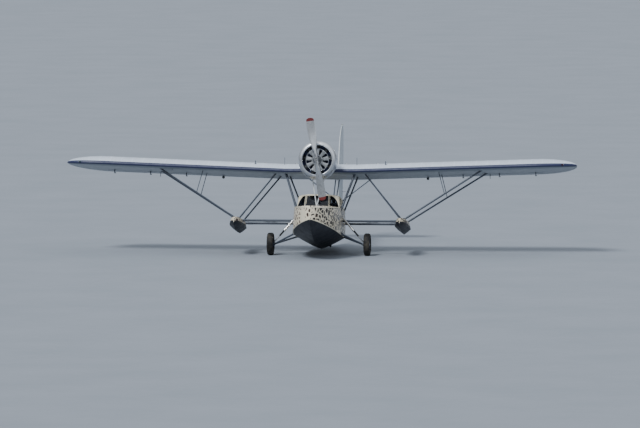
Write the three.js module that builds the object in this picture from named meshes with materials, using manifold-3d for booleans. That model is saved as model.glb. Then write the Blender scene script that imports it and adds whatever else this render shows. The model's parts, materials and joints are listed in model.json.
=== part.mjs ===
// A single-engine amphibious flying boat of about 1930, parked on its wheels.
// A parasol wing stands on struts above a short stepped hull. A radial engine in a ring cowl sits on the
// wing's leading edge, a boom behind it carries the tail, and outriggers carry two small floats.
//
// Millimetres. The pieces are drawn in the aircraft's own axes: +X to port, +Y aft, +Z up, and the
// origin in the middle of the wing's leading edge. The last lines set the aircraft on the ground,
// nose up, with +Z vertical and the ground at Z = 0.
import * as THREE from "three";
import { mergeVertices } from "three/addons/utils/BufferGeometryUtils.js";
import Module from "manifold-3d";

const wasm = await Module();
wasm.setup();

const DEG = Math.PI / 180;
const GAP = 0.4; // between pieces that meet face to face

// Driving dimensions
const span = 15850;
const centreHalf = 1100; // half the flat centre section, where the outer panels begin
const dihedral = 2.1 * DEG;
const tipLength = 1300; // rounded part of each wing tip
const wing = { chord: 2030, camber: 0.06, camberAt: 0.4, thickness: 0.168, incidence: 2.3 * DEG };
const sparFront = 300;
const sparRear = 1350;
const thrustLine = 260; // height of the engine's axis
const propellerRadius = 1290;
const propellerPlane = -1060;
const propellerTurn = 10 * DEG; // how the propeller has come to rest
const cowlRadius = 595;
const sheer = -1140; // top of the hull's sides along the cabin
const cabinFront = -650;
const cabinRear = 1900;
const cabinFloor = -1960;
const stepAt = 900;
const floatOut = 2560; // from the centre line to each float
const outriggerHeight = -1530;
const mainAxle = { x: 1500, y: 150, z: -2262 };
const tyreRadius = 350;
const tailWheelRadius = 120;
const tailAxleAt = 3600;
const groundPitch = 9 * DEG;
const rudderHinge = 6620;
const tailplaneHeight = 530;
const elevatorHinge = 6480;

// Colours, with roughness and metalness
const paints = {
  cream: { color: 0xd9cda6, roughness: 0.45, metalness: 0.0 },
  white: { color: 0xdfe3e4, roughness: 0.5, metalness: 0.0 },
  navy: { color: 0x1d2450, roughness: 0.4, metalness: 0.1 },
  slate: { color: 0x39424f, roughness: 0.45, metalness: 0.3 },
  alloy: { color: 0xb4b9be, roughness: 0.35, metalness: 0.9 },
  iron: { color: 0x2b2d31, roughness: 0.6, metalness: 0.5 },
  rubber: { color: 0x17181b, roughness: 0.85, metalness: 0.0 },
  leather: { color: 0x6d4529, roughness: 0.6, metalness: 0.0 },
  glass: { color: 0x25303a, roughness: 0.05, metalness: 0.0 },
};

// A closed three.js geometry as a solid that can be cut and joined.
function solidOf(geometry) {
  const bare = geometry.clone();
  bare.deleteAttribute("normal");
  bare.deleteAttribute("uv");
  const merged = mergeVertices(bare, 1e-3);
  const vertProperties = new Float32Array(merged.attributes.position.array);
  const triVerts = new Uint32Array(merged.index.array);
  return new wasm.Manifold(new wasm.Mesh({ numProp: 3, vertProperties, triVerts }));
}

function geometryOf(solid) {
  const mesh = solid.getMesh();
  const geometry = new THREE.BufferGeometry();
  geometry.setAttribute("position", new THREE.BufferAttribute(mesh.vertProperties, mesh.numProp));
  geometry.setIndex(new THREE.BufferAttribute(mesh.triVerts, 1));
  const flat = geometry.toNonIndexed();
  flat.computeVertexNormals();
  return flat;
}

// A solid whose skin runs from ring to ring. Every ring has the same number of [x, y, z] points.
function loft(rings) {
  const count = rings[0].length;
  const points = rings.flat();
  const triangles = [];
  for (let r = 0; r + 1 < rings.length; r++) {
    for (let i = 0; i < count; i++) {
      const a = r * count + i;
      const b = r * count + ((i + 1) % count);
      // the second half of a ring mirrors the first, diagonals too
      if (i < count / 2) triangles.push([a, b, a + count], [b, b + count, a + count]);
      else triangles.push([a, b, b + count], [a, b + count, a + count]);
    }
  }
  for (const [ring, turned] of [[0, true], [rings.length - 1, false]]) {
    const middle = [0, 1, 2].map((k) => rings[ring].reduce((sum, p) => sum + p[k], 0) / count);
    points.push(middle);
    for (let i = 0; i < count; i++) {
      const a = ring * count + i;
      const b = ring * count + ((i + 1) % count);
      triangles.push(turned ? [b, a, points.length - 1] : [a, b, points.length - 1]);
    }
  }
  const at = triangles.map((t) => t.map((i) => new THREE.Vector3(...points[i])));
  const volume = at.reduce((sum, [a, b, c]) => sum + a.dot(b.clone().cross(c)), 0);
  if (volume < 0) triangles.forEach((t) => t.reverse());
  const vertProperties = new Float32Array(points.flat());
  const triVerts = new Uint32Array(triangles.flat());
  return new wasm.Manifold(new wasm.Mesh({ numProp: 3, vertProperties, triVerts }));
}

function box(x0, x1, y0, y1, z0, z1) {
  const shape = new THREE.BoxGeometry(x1 - x0, y1 - y0, z1 - z0);
  return solidOf(shape.translate((x0 + x1) / 2, (y0 + y1) / 2, (z0 + z1) / 2));
}

// A round bar between two points, with its first facet's middle turned by phase.
function rod(from, to, radius, sides = 10, endRadius = radius) {
  const a = new THREE.Vector3(...from);
  const b = new THREE.Vector3(...to);
  const shape = new THREE.CylinderGeometry(endRadius, radius, a.distanceTo(b), sides);
  const along = b.clone().sub(a).normalize();
  shape.applyQuaternion(new THREE.Quaternion().setFromUnitVectors(new THREE.Vector3(0, 1, 0), along));
  return solidOf(shape.translate(...a.add(b).multiplyScalar(0.5).toArray()));
}

// A streamlined strut between two points, its sharper edge aft.
function strut(from, to, chord, thickness) {
  const a = new THREE.Vector3(...from);
  const b = new THREE.Vector3(...to);
  const along = b.clone().sub(a).normalize();
  const aft = new THREE.Vector3(0, 1, 0).addScaledVector(along, -along.y).normalize();
  const across = along.clone().cross(aft);
  const section = [[-0.5, 0], [-0.36, 0.36], [-0.1, 0.5], [0.2, 0.34], [0.5, 0.06]]; // chord, thickness
  const outline = [...section, ...section.slice(1).reverse().map(([c, t]) => [c, -t])];
  const ringAt = (p) =>
    outline.map(([c, t]) =>
      p.clone().addScaledVector(aft, c * chord).addScaledVector(across, t * thickness).toArray());
  return loft([ringAt(a), ringAt(b)]);
}

// Cuts a piece back from a neighbour, leaving the gap on the sides that the shifts name.
function fitted(piece, neighbour, ...shifts) {
  let cutter = neighbour;
  for (const shift of shifts) cutter = cutter.add(neighbour.translate(shift.map((v) => v * GAP)));
  return piece.subtract(cutter);
}

const largest = (solid) => solid.decompose().reduce((a, b) => (b.volume() > a.volume() ? b : a));
const mirrored = (solid) => solid.mirror([1, 0, 0]);
const turnedX = (solid, angle) => solid.rotate([angle / DEG, 0, 0]);

// One hinge on a line along X, the fixed piece ahead of it: the bracket with its pin, and the room
// that the moving piece leaves for them.
const hinge = { plate: 12, lug: 14, pin: 8, bore: 8.6, pinLength: 64, boreLength: 76, notch: 24, behind: 24 };
function hingeBracket(arm, drop = 0) {
  const side = new THREE.Shape();
  side.moveTo(-arm, -hinge.lug - drop);
  side.lineTo(0, -hinge.lug);
  side.absarc(0, 0, hinge.lug, -Math.PI / 2, Math.PI / 2, false);
  side.lineTo(-arm, hinge.lug);
  const plate = new THREE.ExtrudeGeometry(side, { depth: hinge.plate, bevelEnabled: false, curveSegments: 3 });
  plate.translate(0, 0, -hinge.plate / 2).rotateX(Math.PI / 2).rotateZ(Math.PI / 2);
  const half = hinge.pinLength / 2;
  return solidOf(plate).add(rod([-half, 0, 0], [half, 0, 0], hinge.pin, 8));
}
function hingeNotch(ahead, height) {
  const half = hinge.boreLength / 2;
  const slot = box(-hinge.notch / 2, hinge.notch / 2, -ahead, hinge.behind, -height, height);
  return slot.add(rod([-half, 0, 0], [half, 0, 0], hinge.bore, 12));
}

const group = new THREE.Group();
const solids = {};
function addPiece(name, solid, paint) {
  solids[name] = solid;
  const mesh = new THREE.Mesh(geometryOf(solid), new THREE.MeshStandardMaterial(paints[paint]));
  mesh.name = name;
  group.add(mesh);
}

// Where the moving pieces turn, in the aircraft's axes.
const pivots = {};

// Wing. A four-digit section: thickness laid off each side of a cambered line.
function sectionPoints(chord, steps) {
  const { camber, camberAt, thickness } = wing;
  const line = (t) =>
    t < camberAt
      ? (camber / camberAt ** 2) * (2 * camberAt * t - t * t)
      : (camber / (1 - camberAt) ** 2) * (1 - 2 * camberAt + 2 * camberAt * t - t * t);
  const half = (t) =>
    5 * thickness * (0.2969 * Math.sqrt(t) - 0.126 * t - 0.3516 * t ** 2 + 0.2843 * t ** 3 - 0.1015 * t ** 4);
  const stations = Array.from({ length: steps + 1 }, (_, i) => (1 - Math.cos((Math.PI * i) / steps)) / 2);
  const upper = stations.map((t) => [t * chord, (line(t) + half(t)) * chord]);
  const lower = stations.slice(1).map((t) => [t * chord, (line(t) - half(t)) * chord]);
  return [...upper, ...lower.reverse()];
}
const panelLength = (span / 2 - centreHalf) / Math.cos(dihedral);
const sectionSteps = 8;
function wingRing(s, chord) {
  const lead = 0.2 * (wing.chord - chord); // the tip closes towards a fifth of the chord
  return sectionPoints(chord, sectionSteps).map(([y, z]) => [s, y + lead, z]);
}
function panelForm() {
  const rings = [wingRing(-20, wing.chord)];
  for (const u of [0, 0.4, 0.7, 0.88, 0.97, 0.9985]) {
    rings.push(wingRing(panelLength - tipLength * (1 - u), wing.chord * Math.sqrt(1 - u * u)));
  }
  return loft(rings);
}
const setWing = (solid) => turnedX(solid, -wing.incidence);
const setPanel = (solid) =>
  solid.rotate([0, -dihedral / DEG, 0]).translate([centreHalf + GAP, 0, 0])
    .intersect(box(centreHalf + GAP, span, -span, span, -span, span));

// Ailerons: hinged at their own noses, cut from the outer panels.
const aileron = { from: 2450, to: 5700, hingeAt: 1600, nose: 48, wall: 64, hinges: [3220, 4350, 5480] };
function sectionHeight(y) {
  const ring = sectionPoints(wing.chord, 40);
  const near = ring.filter(([at]) => Math.abs(at - y) < 45).map(([, z]) => z);
  return (Math.max(...near) + Math.min(...near)) / 2;
}
const aileronHinge = sectionHeight(aileron.hingeAt);
const panel = panelForm();
const high = 400;
const atHinge = (solid, s) => solid.translate([s, aileron.hingeAt, aileronHinge]);
let panelBody = panel.subtract(
  box(aileron.from, aileron.to, aileron.hingeAt - aileron.wall, wing.chord + high, -high, high));
let aileronBody = panel
  .intersect(box(aileron.from + 8, aileron.to - 8, aileron.hingeAt, wing.chord + high, -high, high))
  .add(atHinge(rod([aileron.from + 8, 0, 0], [aileron.to - 8, 0, 0], aileron.nose, 12), 0));
for (const s of aileron.hinges) {
  panelBody = panelBody.add(atHinge(hingeBracket(aileron.wall + 20, 30), s));
  aileronBody = aileronBody.subtract(atHinge(hingeNotch(aileron.wall + 20, high / 4), s));
}
const wingLeft = setPanel(setWing(panelBody));
const aileronLeft = setPanel(setWing(aileronBody));
const centreForm = setWing(loft([-centreHalf, centreHalf].map((x) => wingRing(x, wing.chord))));

// Hull and floats. Columns: station y, keel z, chine x, chine z, sheer x, sheer z, deck crown z.
function hullRing([y, keel, chineX, chineZ, sheerX, sheerZ, crown]) {
  const half = [
    [0, keel],
    [0.55 * chineX, keel + 0.47 * (chineZ - keel)],
    [chineX, chineZ],
    [0.5 * (chineX + sheerX) * 1.015, 0.5 * (chineZ + sheerZ)],
    [sheerX, sheerZ],
    [0.86 * sheerX, sheerZ + 0.55 * (crown - sheerZ)],
    [0.5 * sheerX, sheerZ + 0.88 * (crown - sheerZ)],
    [0, crown],
  ];
  const other = half.slice(1, -1).reverse().map(([x, z]) => [-x, z]);
  return [...half, ...other].map(([x, z]) => [x, y, z]);
}
const forebody = [
  [-2580, -1765, 12, -1725, 18, -1322, -1305],
  [-2500, -1890, 130, -1755, 170, -1300, -1268],
  [-2250, -2040, 325, -1818, 350, -1262, -1236],
  [-1850, -2165, 505, -1885, 515, -1222, -1200],
  [-1350, -2258, 636, -1945, 630, -1184, -1158],
  [cabinFront, -2325, 715, -1990, 698, sheer, -1106],
  [250, -2345, 730, -2000, 715, sheer, -1092],
  [stepAt, -2345, 726, -2000, 712, sheer, -1092],
];
const afterbody = [
  [stepAt - 1, -2262, 718, -1975, 712, sheer, -1092],
  [cabinRear, -2085, 640, -1872, 625, sheer, -1092],
  [2800, -1905, 470, -1745, 450, -1112, -1068],
  [3500, -1770, 300, -1615, 282, -1085, -1045],
  [4300, -1420, 28, -1330, 28, -1040, -1015],
];
const hullForm = loft(forebody.map(hullRing)).add(loft(afterbody.map(hullRing)));
const far = 4000;

// Cabin. Its plan outline at the sheer and at the window heads, half of it, from the bow round to the stern.
const cabinBase = [[0, -640], [380, -590], [650, -250], [672, 100], [672, 800], [640, 1250], [560, 1600],
  [400, 1850], [0, 1890]];
const cabinHead = [[0, -430], [360, -385], [608, -110], [626, 160], [626, 800], [600, 1220], [520, 1560],
  [370, 1790], [0, 1830]];
const headHeight = -798;
const roofHeight = -702;
const cabinWall = 34;
const whole = (half) => [...half, ...half.slice(1, -1).reverse().map(([x, y]) => [-x, y])];
function inset(outline, distance) {
  return outline.map((p, i) => {
    const before = outline[(i + outline.length - 1) % outline.length];
    const after = outline[(i + 1) % outline.length];
    const [d, e] = [[before, p], [p, after]].map(([a, b]) => {
      const length = Math.hypot(b[0] - a[0], b[1] - a[1]);
      return [(b[0] - a[0]) / length, (b[1] - a[1]) / length];
    });
    const inward = [-d[1] - e[1], d[0] + e[0]];
    const reach = distance / (1 + d[0] * e[0] + d[1] * e[1]);
    return [p[0] + inward[0] * reach, p[1] + inward[1] * reach];
  });
}
function cabinForm(distance, bottom, top) {
  const ringAt = (outline, z) => inset(whole(outline), distance).map(([x, y]) => [x, y, z]);
  const squeezed = (sx, sy) => cabinHead.map(([x, y]) => [x * sx, 700 + (y - 700) * sy]);
  return loft([
    ringAt(cabinBase, bottom),
    ringAt(cabinBase, sheer),
    ringAt(cabinHead, headHeight),
    ringAt(squeezed(0.88, 0.955), headHeight + 0.62 * (top - headHeight)),
    ringAt(squeezed(0.56, 0.82), top),
  ]);
}
// The roof slopes down behind the cabin, and the hatch lies on that slope.
const slope = { y: 1120, z: -790, angle: 20 * DEG };
const onSlope = (solid) => turnedX(solid, -slope.angle).translate([0, slope.y, slope.z]);
const aboveSlope = (lower) => onSlope(box(-far, far, -2 * far, 2 * far, -lower, far));
const hatch = { half: 270, from: 130, to: 640, thickness: 26, lift: 8, axis: 320, knuckle: 16 };
const cabinOuter = cabinForm(0, sheer - 50, roofHeight).subtract(aboveSlope(0))
  .intersect(box(-far, far, -far, far, sheer + GAP, far));
const cabinInner = cabinForm(cabinWall, sheer - 50, roofHeight - cabinWall).subtract(aboveSlope(cabinWall));
const cavity = cabinForm(cabinWall + 8, cabinFloor, roofHeight).intersect(
  box(-far, far, -far, far, cabinFloor, sheer + 20));

// Windows: columns are the first and last y, the sill and the head.
const sideWindows = [[-40, 330, -1105, -838], [410, 790, -1105, -838], [870, 1150, -1105, -885]];
const frontPane = { half: 318, sill: -1112, head: -818 };
function cornerPane() { // its top falls in an arch towards the side of the cabin
  const [a, b] = [cabinBase[1], cabinBase[2]];
  const width = Math.hypot(b[0] - a[0], b[1] - a[1]);
  const [near, end, tall] = [36, width - 22, frontPane.head - frontPane.sill];
  const outline = new THREE.Shape();
  outline.moveTo(near, 0);
  outline.lineTo(end, 0);
  outline.absellipse(near + 90, 0, end - near - 90, tall, 0, Math.PI / 2, false);
  outline.lineTo(near, tall);
  const form = new THREE.ExtrudeGeometry(outline, { depth: 460, bevelEnabled: false, curveSegments: 8 });
  const pane = solidOf(form.rotateX(Math.PI / 2).translate(0, 260, frontPane.sill));
  return pane.rotate([0, 0, Math.atan2(b[1] - a[1], b[0] - a[0]) / DEG]).translate([a[0], a[1], 0]);
}
function windowCuts() {
  let cuts = box(-frontPane.half, frontPane.half, -900, -200, frontPane.sill, frontPane.head).add(cornerPane());
  for (const [y0, y1, z0, z1] of sideWindows) cuts = cuts.add(box(400, 900, y0, y1, z0, z1));
  return cuts.add(mirrored(cuts));
}
const glazing = { near: cabinWall + 0.5, far: cabinWall + 6.5, low: -1132, top: headHeight - 3 };
const glassLayer = cabinForm(glazing.near, sheer - 50, roofHeight)
  .subtract(cabinForm(glazing.far, sheer - 60, roofHeight + 10))
  .intersect(box(-far, far, -far, far, glazing.low, glazing.top))
  .subtract(aboveSlope(cabinWall + 2));
const windshieldEnd = 0;

// The hatch's own frame: x aft down the slope, y to starboard, z out of the slope, on its hinge line.
const hatchMiddle = (hatch.from + hatch.to) / 2;
const setHatch = (solid) => onSlope(solid.rotate([0, 0, 90]).translate([
  hatch.axis, hatchMiddle, hatch.lift + hatch.knuckle]));
const hatchHalf = (hatch.to - hatch.from) / 2 + 25;
let hatchLid = box(-hatchHalf, hatchHalf, 0, hatch.axis + hatch.half + 25,
  -hatch.knuckle, hatch.thickness - hatch.knuckle)
  .add(rod([-hatchHalf, 0, 0], [hatchHalf, 0, 0], hatch.knuckle, 12));
let hatchBrackets = null;
for (const x of [-170, 170]) {
  const bracket = box(-6, 6, -34, 0, -hatch.knuckle - hatch.lift - 6, 10)
    .subtract(box(-9, 9, -12, 12, -60, -13))
    .add(hingeBracket(30)).translate([x, 0, 0]);
  hatchBrackets = hatchBrackets ? hatchBrackets.add(bracket) : bracket;
  hatchLid = hatchLid.subtract(hingeNotch(60, 60).translate([x, 0, 0]));
}
const hatchHole = onSlope(box(-hatch.half, hatch.half, hatch.from, hatch.to, -120, 60));
const hatchFeet = onSlope(box(hatch.axis + 14, hatch.axis + 34, hatchMiddle - 176, hatchMiddle - 164, -8, 12)
  .add(box(hatch.axis + 14, hatch.axis + 34, hatchMiddle + 164, hatchMiddle + 176, -8, 12)));

const cabinTop = cabinOuter.subtract(cabinInner).subtract(windowCuts()).subtract(hatchHole)
  .add(setHatch(hatchBrackets)).add(hatchFeet);
addPiece("hull_bow", hullForm.intersect(box(-far, far, -far, cabinFront - GAP, -far, far)), "cream");
addPiece("hull_cabin",
  hullForm.intersect(box(-far, far, cabinFront, cabinRear, -far, sheer)).subtract(cavity), "cream");
addPiece("cabin_top", cabinTop, "cream");
addPiece("cabin_hatch", setHatch(hatchLid), "cream");
addPiece("windshield_glass",
  glassLayer.intersect(box(-far, far, -far, windshieldEnd, -far, far)), "glass");
const sideGlass = glassLayer.intersect(box(300, far, windshieldEnd + GAP, 1230, -far, far));
addPiece("side_glass_left", sideGlass, "glass");
addPiece("side_glass_right", mirrored(sideGlass), "glass");

// Inside the cabin: panel, control column, two front seats and a rear bench.
const insideCavity = cavity.scale([0.999, 1, 1]).intersect(box(-far, far, -far, far, cabinFloor + GAP, far));
addPiece("instrument_panel",
  box(-700, 700, -352, -330, -1340, sheer - 20).intersect(insideCavity), "iron");
const column = { x: 300, foot: [-60, cabinFloor - 20], hub: [-175, -1330], wheel: 140 };
const yoke = solidOf(new THREE.TorusGeometry(column.wheel, 13, 6, 20).rotateX(75 * DEG)
  .translate(column.x, column.hub[0] + 14, column.hub[1] + 30));
addPiece("control_column",
  rod([column.x, ...column.foot], [column.x, ...column.hub], 20, 8)
    .add(rod([column.x - column.wheel, column.hub[0] + 14, column.hub[1] + 30],
      [column.x + column.wheel, column.hub[0] + 14, column.hub[1] + 30], 11, 6))
    .add(rod([column.x, column.hub[0] - 20, column.hub[1] - 14],
      [column.x, column.hub[0] + 24, column.hub[1] + 34], 24, 8))
    .add(yoke).intersect(insideCavity), "iron");
function seat(x0, x1, y) {
  const side = new THREE.Shape();
  const low = cabinFloor + GAP;
  [[0, low], [400, low], [430, low + 300], [520, low + 820], [440, low + 835], [345, low + 400],
    [-20, low + 375], [-20, low + 260]].forEach(([a, b], i) => (i ? side.lineTo(a, b) : side.moveTo(a, b)));
  const form = new THREE.ExtrudeGeometry(side, { depth: x1 - x0, bevelEnabled: false });
  return solidOf(form.rotateX(Math.PI / 2).rotateZ(Math.PI / 2).translate(x0, y, 0));
}
addPiece("seat_front_left", seat(100, 520, 60), "leather");
addPiece("seat_front_right", seat(-520, -100, 60), "leather");
addPiece("seat_rear", seat(-470, 470, 850), "leather");

// Stern, with the boss that holds the tail wheel's post. The post stands upright on the ground.
const up = groundPitch; // turns a ground-aligned form into the aircraft's axes
const wheelSides = 20;
const flatTo = Math.cos(Math.PI / wheelSides); // a faceted tyre rests on a flat
const rise = tyreRadius * flatTo + mainAxle.y * Math.sin(groundPitch) - mainAxle.z * Math.cos(groundPitch);
const tailAxle = [0, tailAxleAt,
  (tailWheelRadius * flatTo - rise + tailAxleAt * Math.sin(groundPitch)) / Math.cos(groundPitch)];
const setTail = (solid) => turnedX(solid, up).translate(tailAxle);
const post = { y: -66, radius: 22, bore: 23, low: 170, top: 330, boss: 44 };
const boss = rod([0, post.y, post.low + 8], [0, post.y, post.top + 25], post.boss, 16);
const bore = rod([0, post.y, 100], [0, post.y, post.top + 6], post.bore, 20);
addPiece("hull_stern",
  hullForm.intersect(box(-far, far, cabinRear + GAP, 2 * far, -far, far)).add(setTail(boss))
    .subtract(setTail(bore)), "cream");
const fork = { half: 52, plate: 8, crown: 148 };
const forkLeg = (x) => {
  const side = new THREE.Shape();
  side.absarc(0, 0, 22, Math.PI, 2 * Math.PI, false);
  side.lineTo(-20, fork.crown + 10);
  side.lineTo(post.y - 30, fork.crown + 10);
  const form = new THREE.ExtrudeGeometry(side, { depth: fork.plate, bevelEnabled: false, curveSegments: 5 });
  return solidOf(form.rotateX(Math.PI / 2).rotateZ(Math.PI / 2).translate(x, 0, 0));
};
const tailFork = forkLeg(fork.half - fork.plate).add(forkLeg(-fork.half))
  .add(box(-fork.half, fork.half, post.y - 30, -20, fork.crown, post.low))
  .add(rod([0, post.y, fork.crown], [0, post.y, post.top], post.radius, 16))
  .add(rod([-fork.half - 6, 0, 0], [fork.half + 6, 0, 0], 9, 10));
addPiece("tail_fork", setTail(tailFork), "slate");
pivots.tail_wheel_steer = {
  at: [0, tailAxle[1] + post.y * Math.cos(up), tailAxle[2] + post.y * Math.sin(up)],
  axis: [0, -Math.sin(up), Math.cos(up)],
};
// A wheel's half section as [radius, x], turned about the axle with a flat at the bottom.
function wheelOf(profile, sides = wheelSides) {
  const points = profile.map(([r, x]) => new THREE.Vector2(r, x));
  const form = new THREE.LatheGeometry([...points, points[0]], sides, Math.PI / sides);
  return solidOf(form.rotateZ(-Math.PI / 2));
}
const tailWheel = wheelOf([[9.9, -30], [78, -30], [112, -30], [120, -14], [120, 14], [112, 30], [78, 30],
  [9.9, 30]]);
addPiece("tail_wheel", setTail(tailWheel), "rubber");
pivots.tail_wheel_spin = { at: tailAxle, axis: [1, 0, 0] };

// Engine on the leading edge. Half sections are [radius, y] about the thrust line.
const onThrust = (solid) => solid.translate([0, 0, thrustLine]);
function turned(profile, sides, start = 0) {
  const points = profile.map(([r, y]) => new THREE.Vector2(r, y));
  return onThrust(solidOf(new THREE.LatheGeometry(points, sides, start)));
}
const firewall = -400;
const cylinderPlane = -590;
const baffleAt = -722;
const crankcase = [[0, -1140], [30, -1140], [30, -990], [66, -985], [92, -930], [118, -840], [128, baffleAt],
  [128, baffleAt + 6 + GAP], [186, baffleAt + 6 + GAP], [186, -480], [240, -470], [240, firewall - GAP],
  [0, firewall - GAP]];
const cowlSides = 27; // one corner over each cylinder and two between
const stay = 14;
const cowlInside = cowlRadius - 19 - stay * Math.tan(Math.PI / cowlSides); // as far as a stay's edge can reach
let engine = turned(crankcase, 20);
for (let i = 0; i < 9; i++) {
  const along = (r) => [r * Math.sin(i * 40 * DEG), cylinderPlane, thrustLine + r * Math.cos(i * 40 * DEG)];
  engine = engine.add(rod(along(150), along(410), 76, 8)).add(rod(along(405), along(548), 92, 8))
    .add(rod(along(540), along(cowlInside - GAP), stay, 4));
}
addPiece("engine", engine, "iron");
const baffle = { outer: 362, inner: 129, slotIn: 156, slotOut: 322, narrow: 20, wide: 50, thickness: 6 };
const disc = new THREE.Shape().absarc(0, 0, baffle.outer, 0, 2 * Math.PI, false);
disc.holes.push(new THREE.Path().absarc(0, 0, baffle.inner, 0, 2 * Math.PI, true));
for (let i = 0; i < 9; i++) {
  const a = (i * 40 + 20) * DEG;
  const at = (r, w) => [r * Math.sin(a) + w * Math.cos(a), r * Math.cos(a) - w * Math.sin(a)];
  const slot = new THREE.Path();
  const outline = [[baffle.slotIn, -baffle.narrow], [baffle.slotOut, -baffle.wide],
    [baffle.slotOut + 20, -0.6 * baffle.wide], [baffle.slotOut + 20, 0.6 * baffle.wide],
    [baffle.slotOut, baffle.wide], [baffle.slotIn, baffle.narrow]];
  outline.forEach(([r, w], k) => (k ? slot.lineTo(...at(r, w)) : slot.moveTo(...at(r, w))));
  disc.holes.push(slot);
}
const baffleForm = new THREE.ExtrudeGeometry(disc, { depth: baffle.thickness, bevelEnabled: false, curveSegments: 14 });
addPiece("engine_baffle", onThrust(solidOf(baffleForm.rotateX(Math.PI / 2)
  .translate(0, baffleAt + baffle.thickness, 0))), "alloy");
const cowlProfile = [[456, -812], [474, -834], [512, -828], [556, -790], [586, -720], [cowlRadius, -630],
  [cowlRadius - 8, -400], [cowlRadius - 19, -400], [cowlRadius - 19, -690], [545, -752], [490, -803],
  [456, -812]];
addPiece("ring_cowl", turned(cowlProfile, cowlSides), "white");

// Nacelle and boom. Columns: y, centre z, half width, half height.
function ovalRing([y, z, a, b], sides = 16) {
  return Array.from({ length: sides }, (_, i) => {
    const t = (2 * Math.PI * i) / sides;
    return [a * Math.sin(t), y, z + b * Math.cos(t)];
  });
}
const nacelleSections = [[firewall, 255, 400, 400], [-100, 250, 394, 396], [350, 235, 356, 376],
  [1000, 200, 285, 305], [2100, 165, 205, 190]];
const boomSections = [[2100 + GAP, 165, 205, 190], [3800, 255, 165, 160], [5500, 345, 128, 132],
  [6400, 385, 96, 105]];
const everyWay = [[0, 0, 1], [0, 0, -1], [0, -1, 0], [0, 1, 0]];
const nacelle = fitted(loft(nacelleSections.map((s) => ovalRing(s))), centreForm, ...everyWay);
addPiece("nacelle", nacelle, "white");
addPiece("wing_center", centreForm, "white");
addPiece("wing_left", wingLeft, "white");
addPiece("wing_right", mirrored(wingLeft), "white");
addPiece("aileron_left", aileronLeft, "white");
addPiece("aileron_right", mirrored(aileronLeft), "white");

// Propeller: two twisted blades. Columns: radius, chord, thickness, pitch in degrees.
const bladeStations = [[48, 88, 88, 42], [190, 88, 84, 42], [330, 156, 56, 37], [520, 222, 36, 30],
  [760, 262, 25, 24], [1000, 262, 17, 19], [1180, 222, 11, 16], [1255, 158, 8, 15], [propellerRadius, 60, 5, 15]];
function bladeRing([r, chord, thickness, pitch]) {
  const ring = Array.from({ length: 10 }, (_, i) => (2 * Math.PI * i) / 10);
  return ring.map((t) => {
    const c = (chord / 2) * Math.cos(t);
    const h = (thickness / 2) * Math.sin(t);
    const p = pitch * DEG;
    return [-c * Math.cos(p) + h * Math.sin(p), -c * Math.sin(p) - h * Math.cos(p), r];
  });
}
const blade = loft(bladeStations.map(bladeRing));
const hub = rod([0, -58, 0], [0, 58, 0], 72, 20);
const propeller = blade.add(blade.rotate([0, 180, 0])).add(hub)
  .subtract(rod([0, -90, 0], [0, 90, 0], 31.2, 24))
  .rotate([0, -propellerTurn / DEG, 0]);
addPiece("propeller", onThrust(propeller.translate([0, propellerPlane, 0])), "alloy");
pivots.propeller_spin = { at: [0, propellerPlane, thrustLine], axis: [0, 1, 0] };

// Tail. Fin and rudder are one outline cut at the hinge. Columns: z, leading edge y, trailing edge y, thickness.
const finStations = [[-610, 6420, 6700, 30], [-540, 6060, 6920, 60], [-380, 5860, 7050, 84], [-60, 5760, 7120, 92],
  [750, 5730, 7150, 92], [1280, 5850, 7148, 84], [1540, 5950, 7140, 76], [1800, 6160, 7108, 66],
  [1980, 6370, 7050, 52], [2070, 6510, 6980, 36], [2100, 6620, 6880, 20]];
// A symmetrical section: share of the chord and of the thickness.
const tailSection = [[0, 0], [0.03, 0.4], [0.15, 0.85], [0.38, 1], [0.7, 0.62], [1, 0.1]];
function tailOutline(lead, trail, thickness) {
  const half = tailSection.map(([c, t]) => [lead + c * (trail - lead), (t * thickness) / 2]);
  return [...half, ...half.slice(1).reverse().map(([y, t]) => [y, -t])];
}
const finForm = loft(finStations.map(([z, lead, trail, thickness]) =>
  tailOutline(lead, trail, thickness).map(([y, x]) => [x, y, z])));
const finWall = 52; // from the hinge line forward to the fin's rear wall
const rudderNose = 36;
const setRudderHinge = (solid, z) => solid.rotate([0, -90, 0]).translate([0, rudderHinge, z]);

// Tailplane and elevators in the same way, one outline. Columns: x, leading edge y, trailing edge y, thickness.
const tailplaneStations = [[0, 5850, 7020, 104], [900, 5905, 7020, 98], [1500, 5975, 7005, 88],
  [1780, 6080, 6940, 70], [1920, 6220, 6830, 44], [1965, 6380, 6700, 20]];
const starboard = tailplaneStations.slice(1).reverse().map(([x, ...rest]) => [-x, ...rest]);
const tailplaneForm = loft([...starboard, ...tailplaneStations].map(([x, lead, trail, thickness]) =>
  tailOutline(lead, trail, thickness).map(([y, z]) => [x, y, tailplaneHeight + z])));
const elevatorNose = 36;
const elevatorWall = 52;
const elevatorEnd = 1700;
const torqueTube = 20;
const tailHinges = { rudder: [-230, 850, 1500], elevator: [520, 1350] };
let stabilizer = tailplaneForm.intersect(box(-far, far, -far, elevatorHinge - elevatorWall, -far, far)).add(
  tailplaneForm.intersect(box(elevatorEnd + 10, far, 0, 2 * far, -far, far))).add(
  tailplaneForm.intersect(box(-far, -elevatorEnd - 10, 0, 2 * far, -far, far)));
const swingRoom = new THREE.Shape(); // the rudder's swing between the two elevator halves
swingRoom.moveTo(-70, 0);
swingRoom.lineTo(70, 0);
swingRoom.lineTo(120, elevatorHinge + 60);
swingRoom.lineTo(330, 7200);
swingRoom.lineTo(-330, 7200);
swingRoom.lineTo(-120, elevatorHinge + 60);
const rudderRoom = solidOf(new THREE.ExtrudeGeometry(swingRoom, { depth: 2 * high, bevelEnabled: false })
  .translate(0, 0, tailplaneHeight - high));
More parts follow.
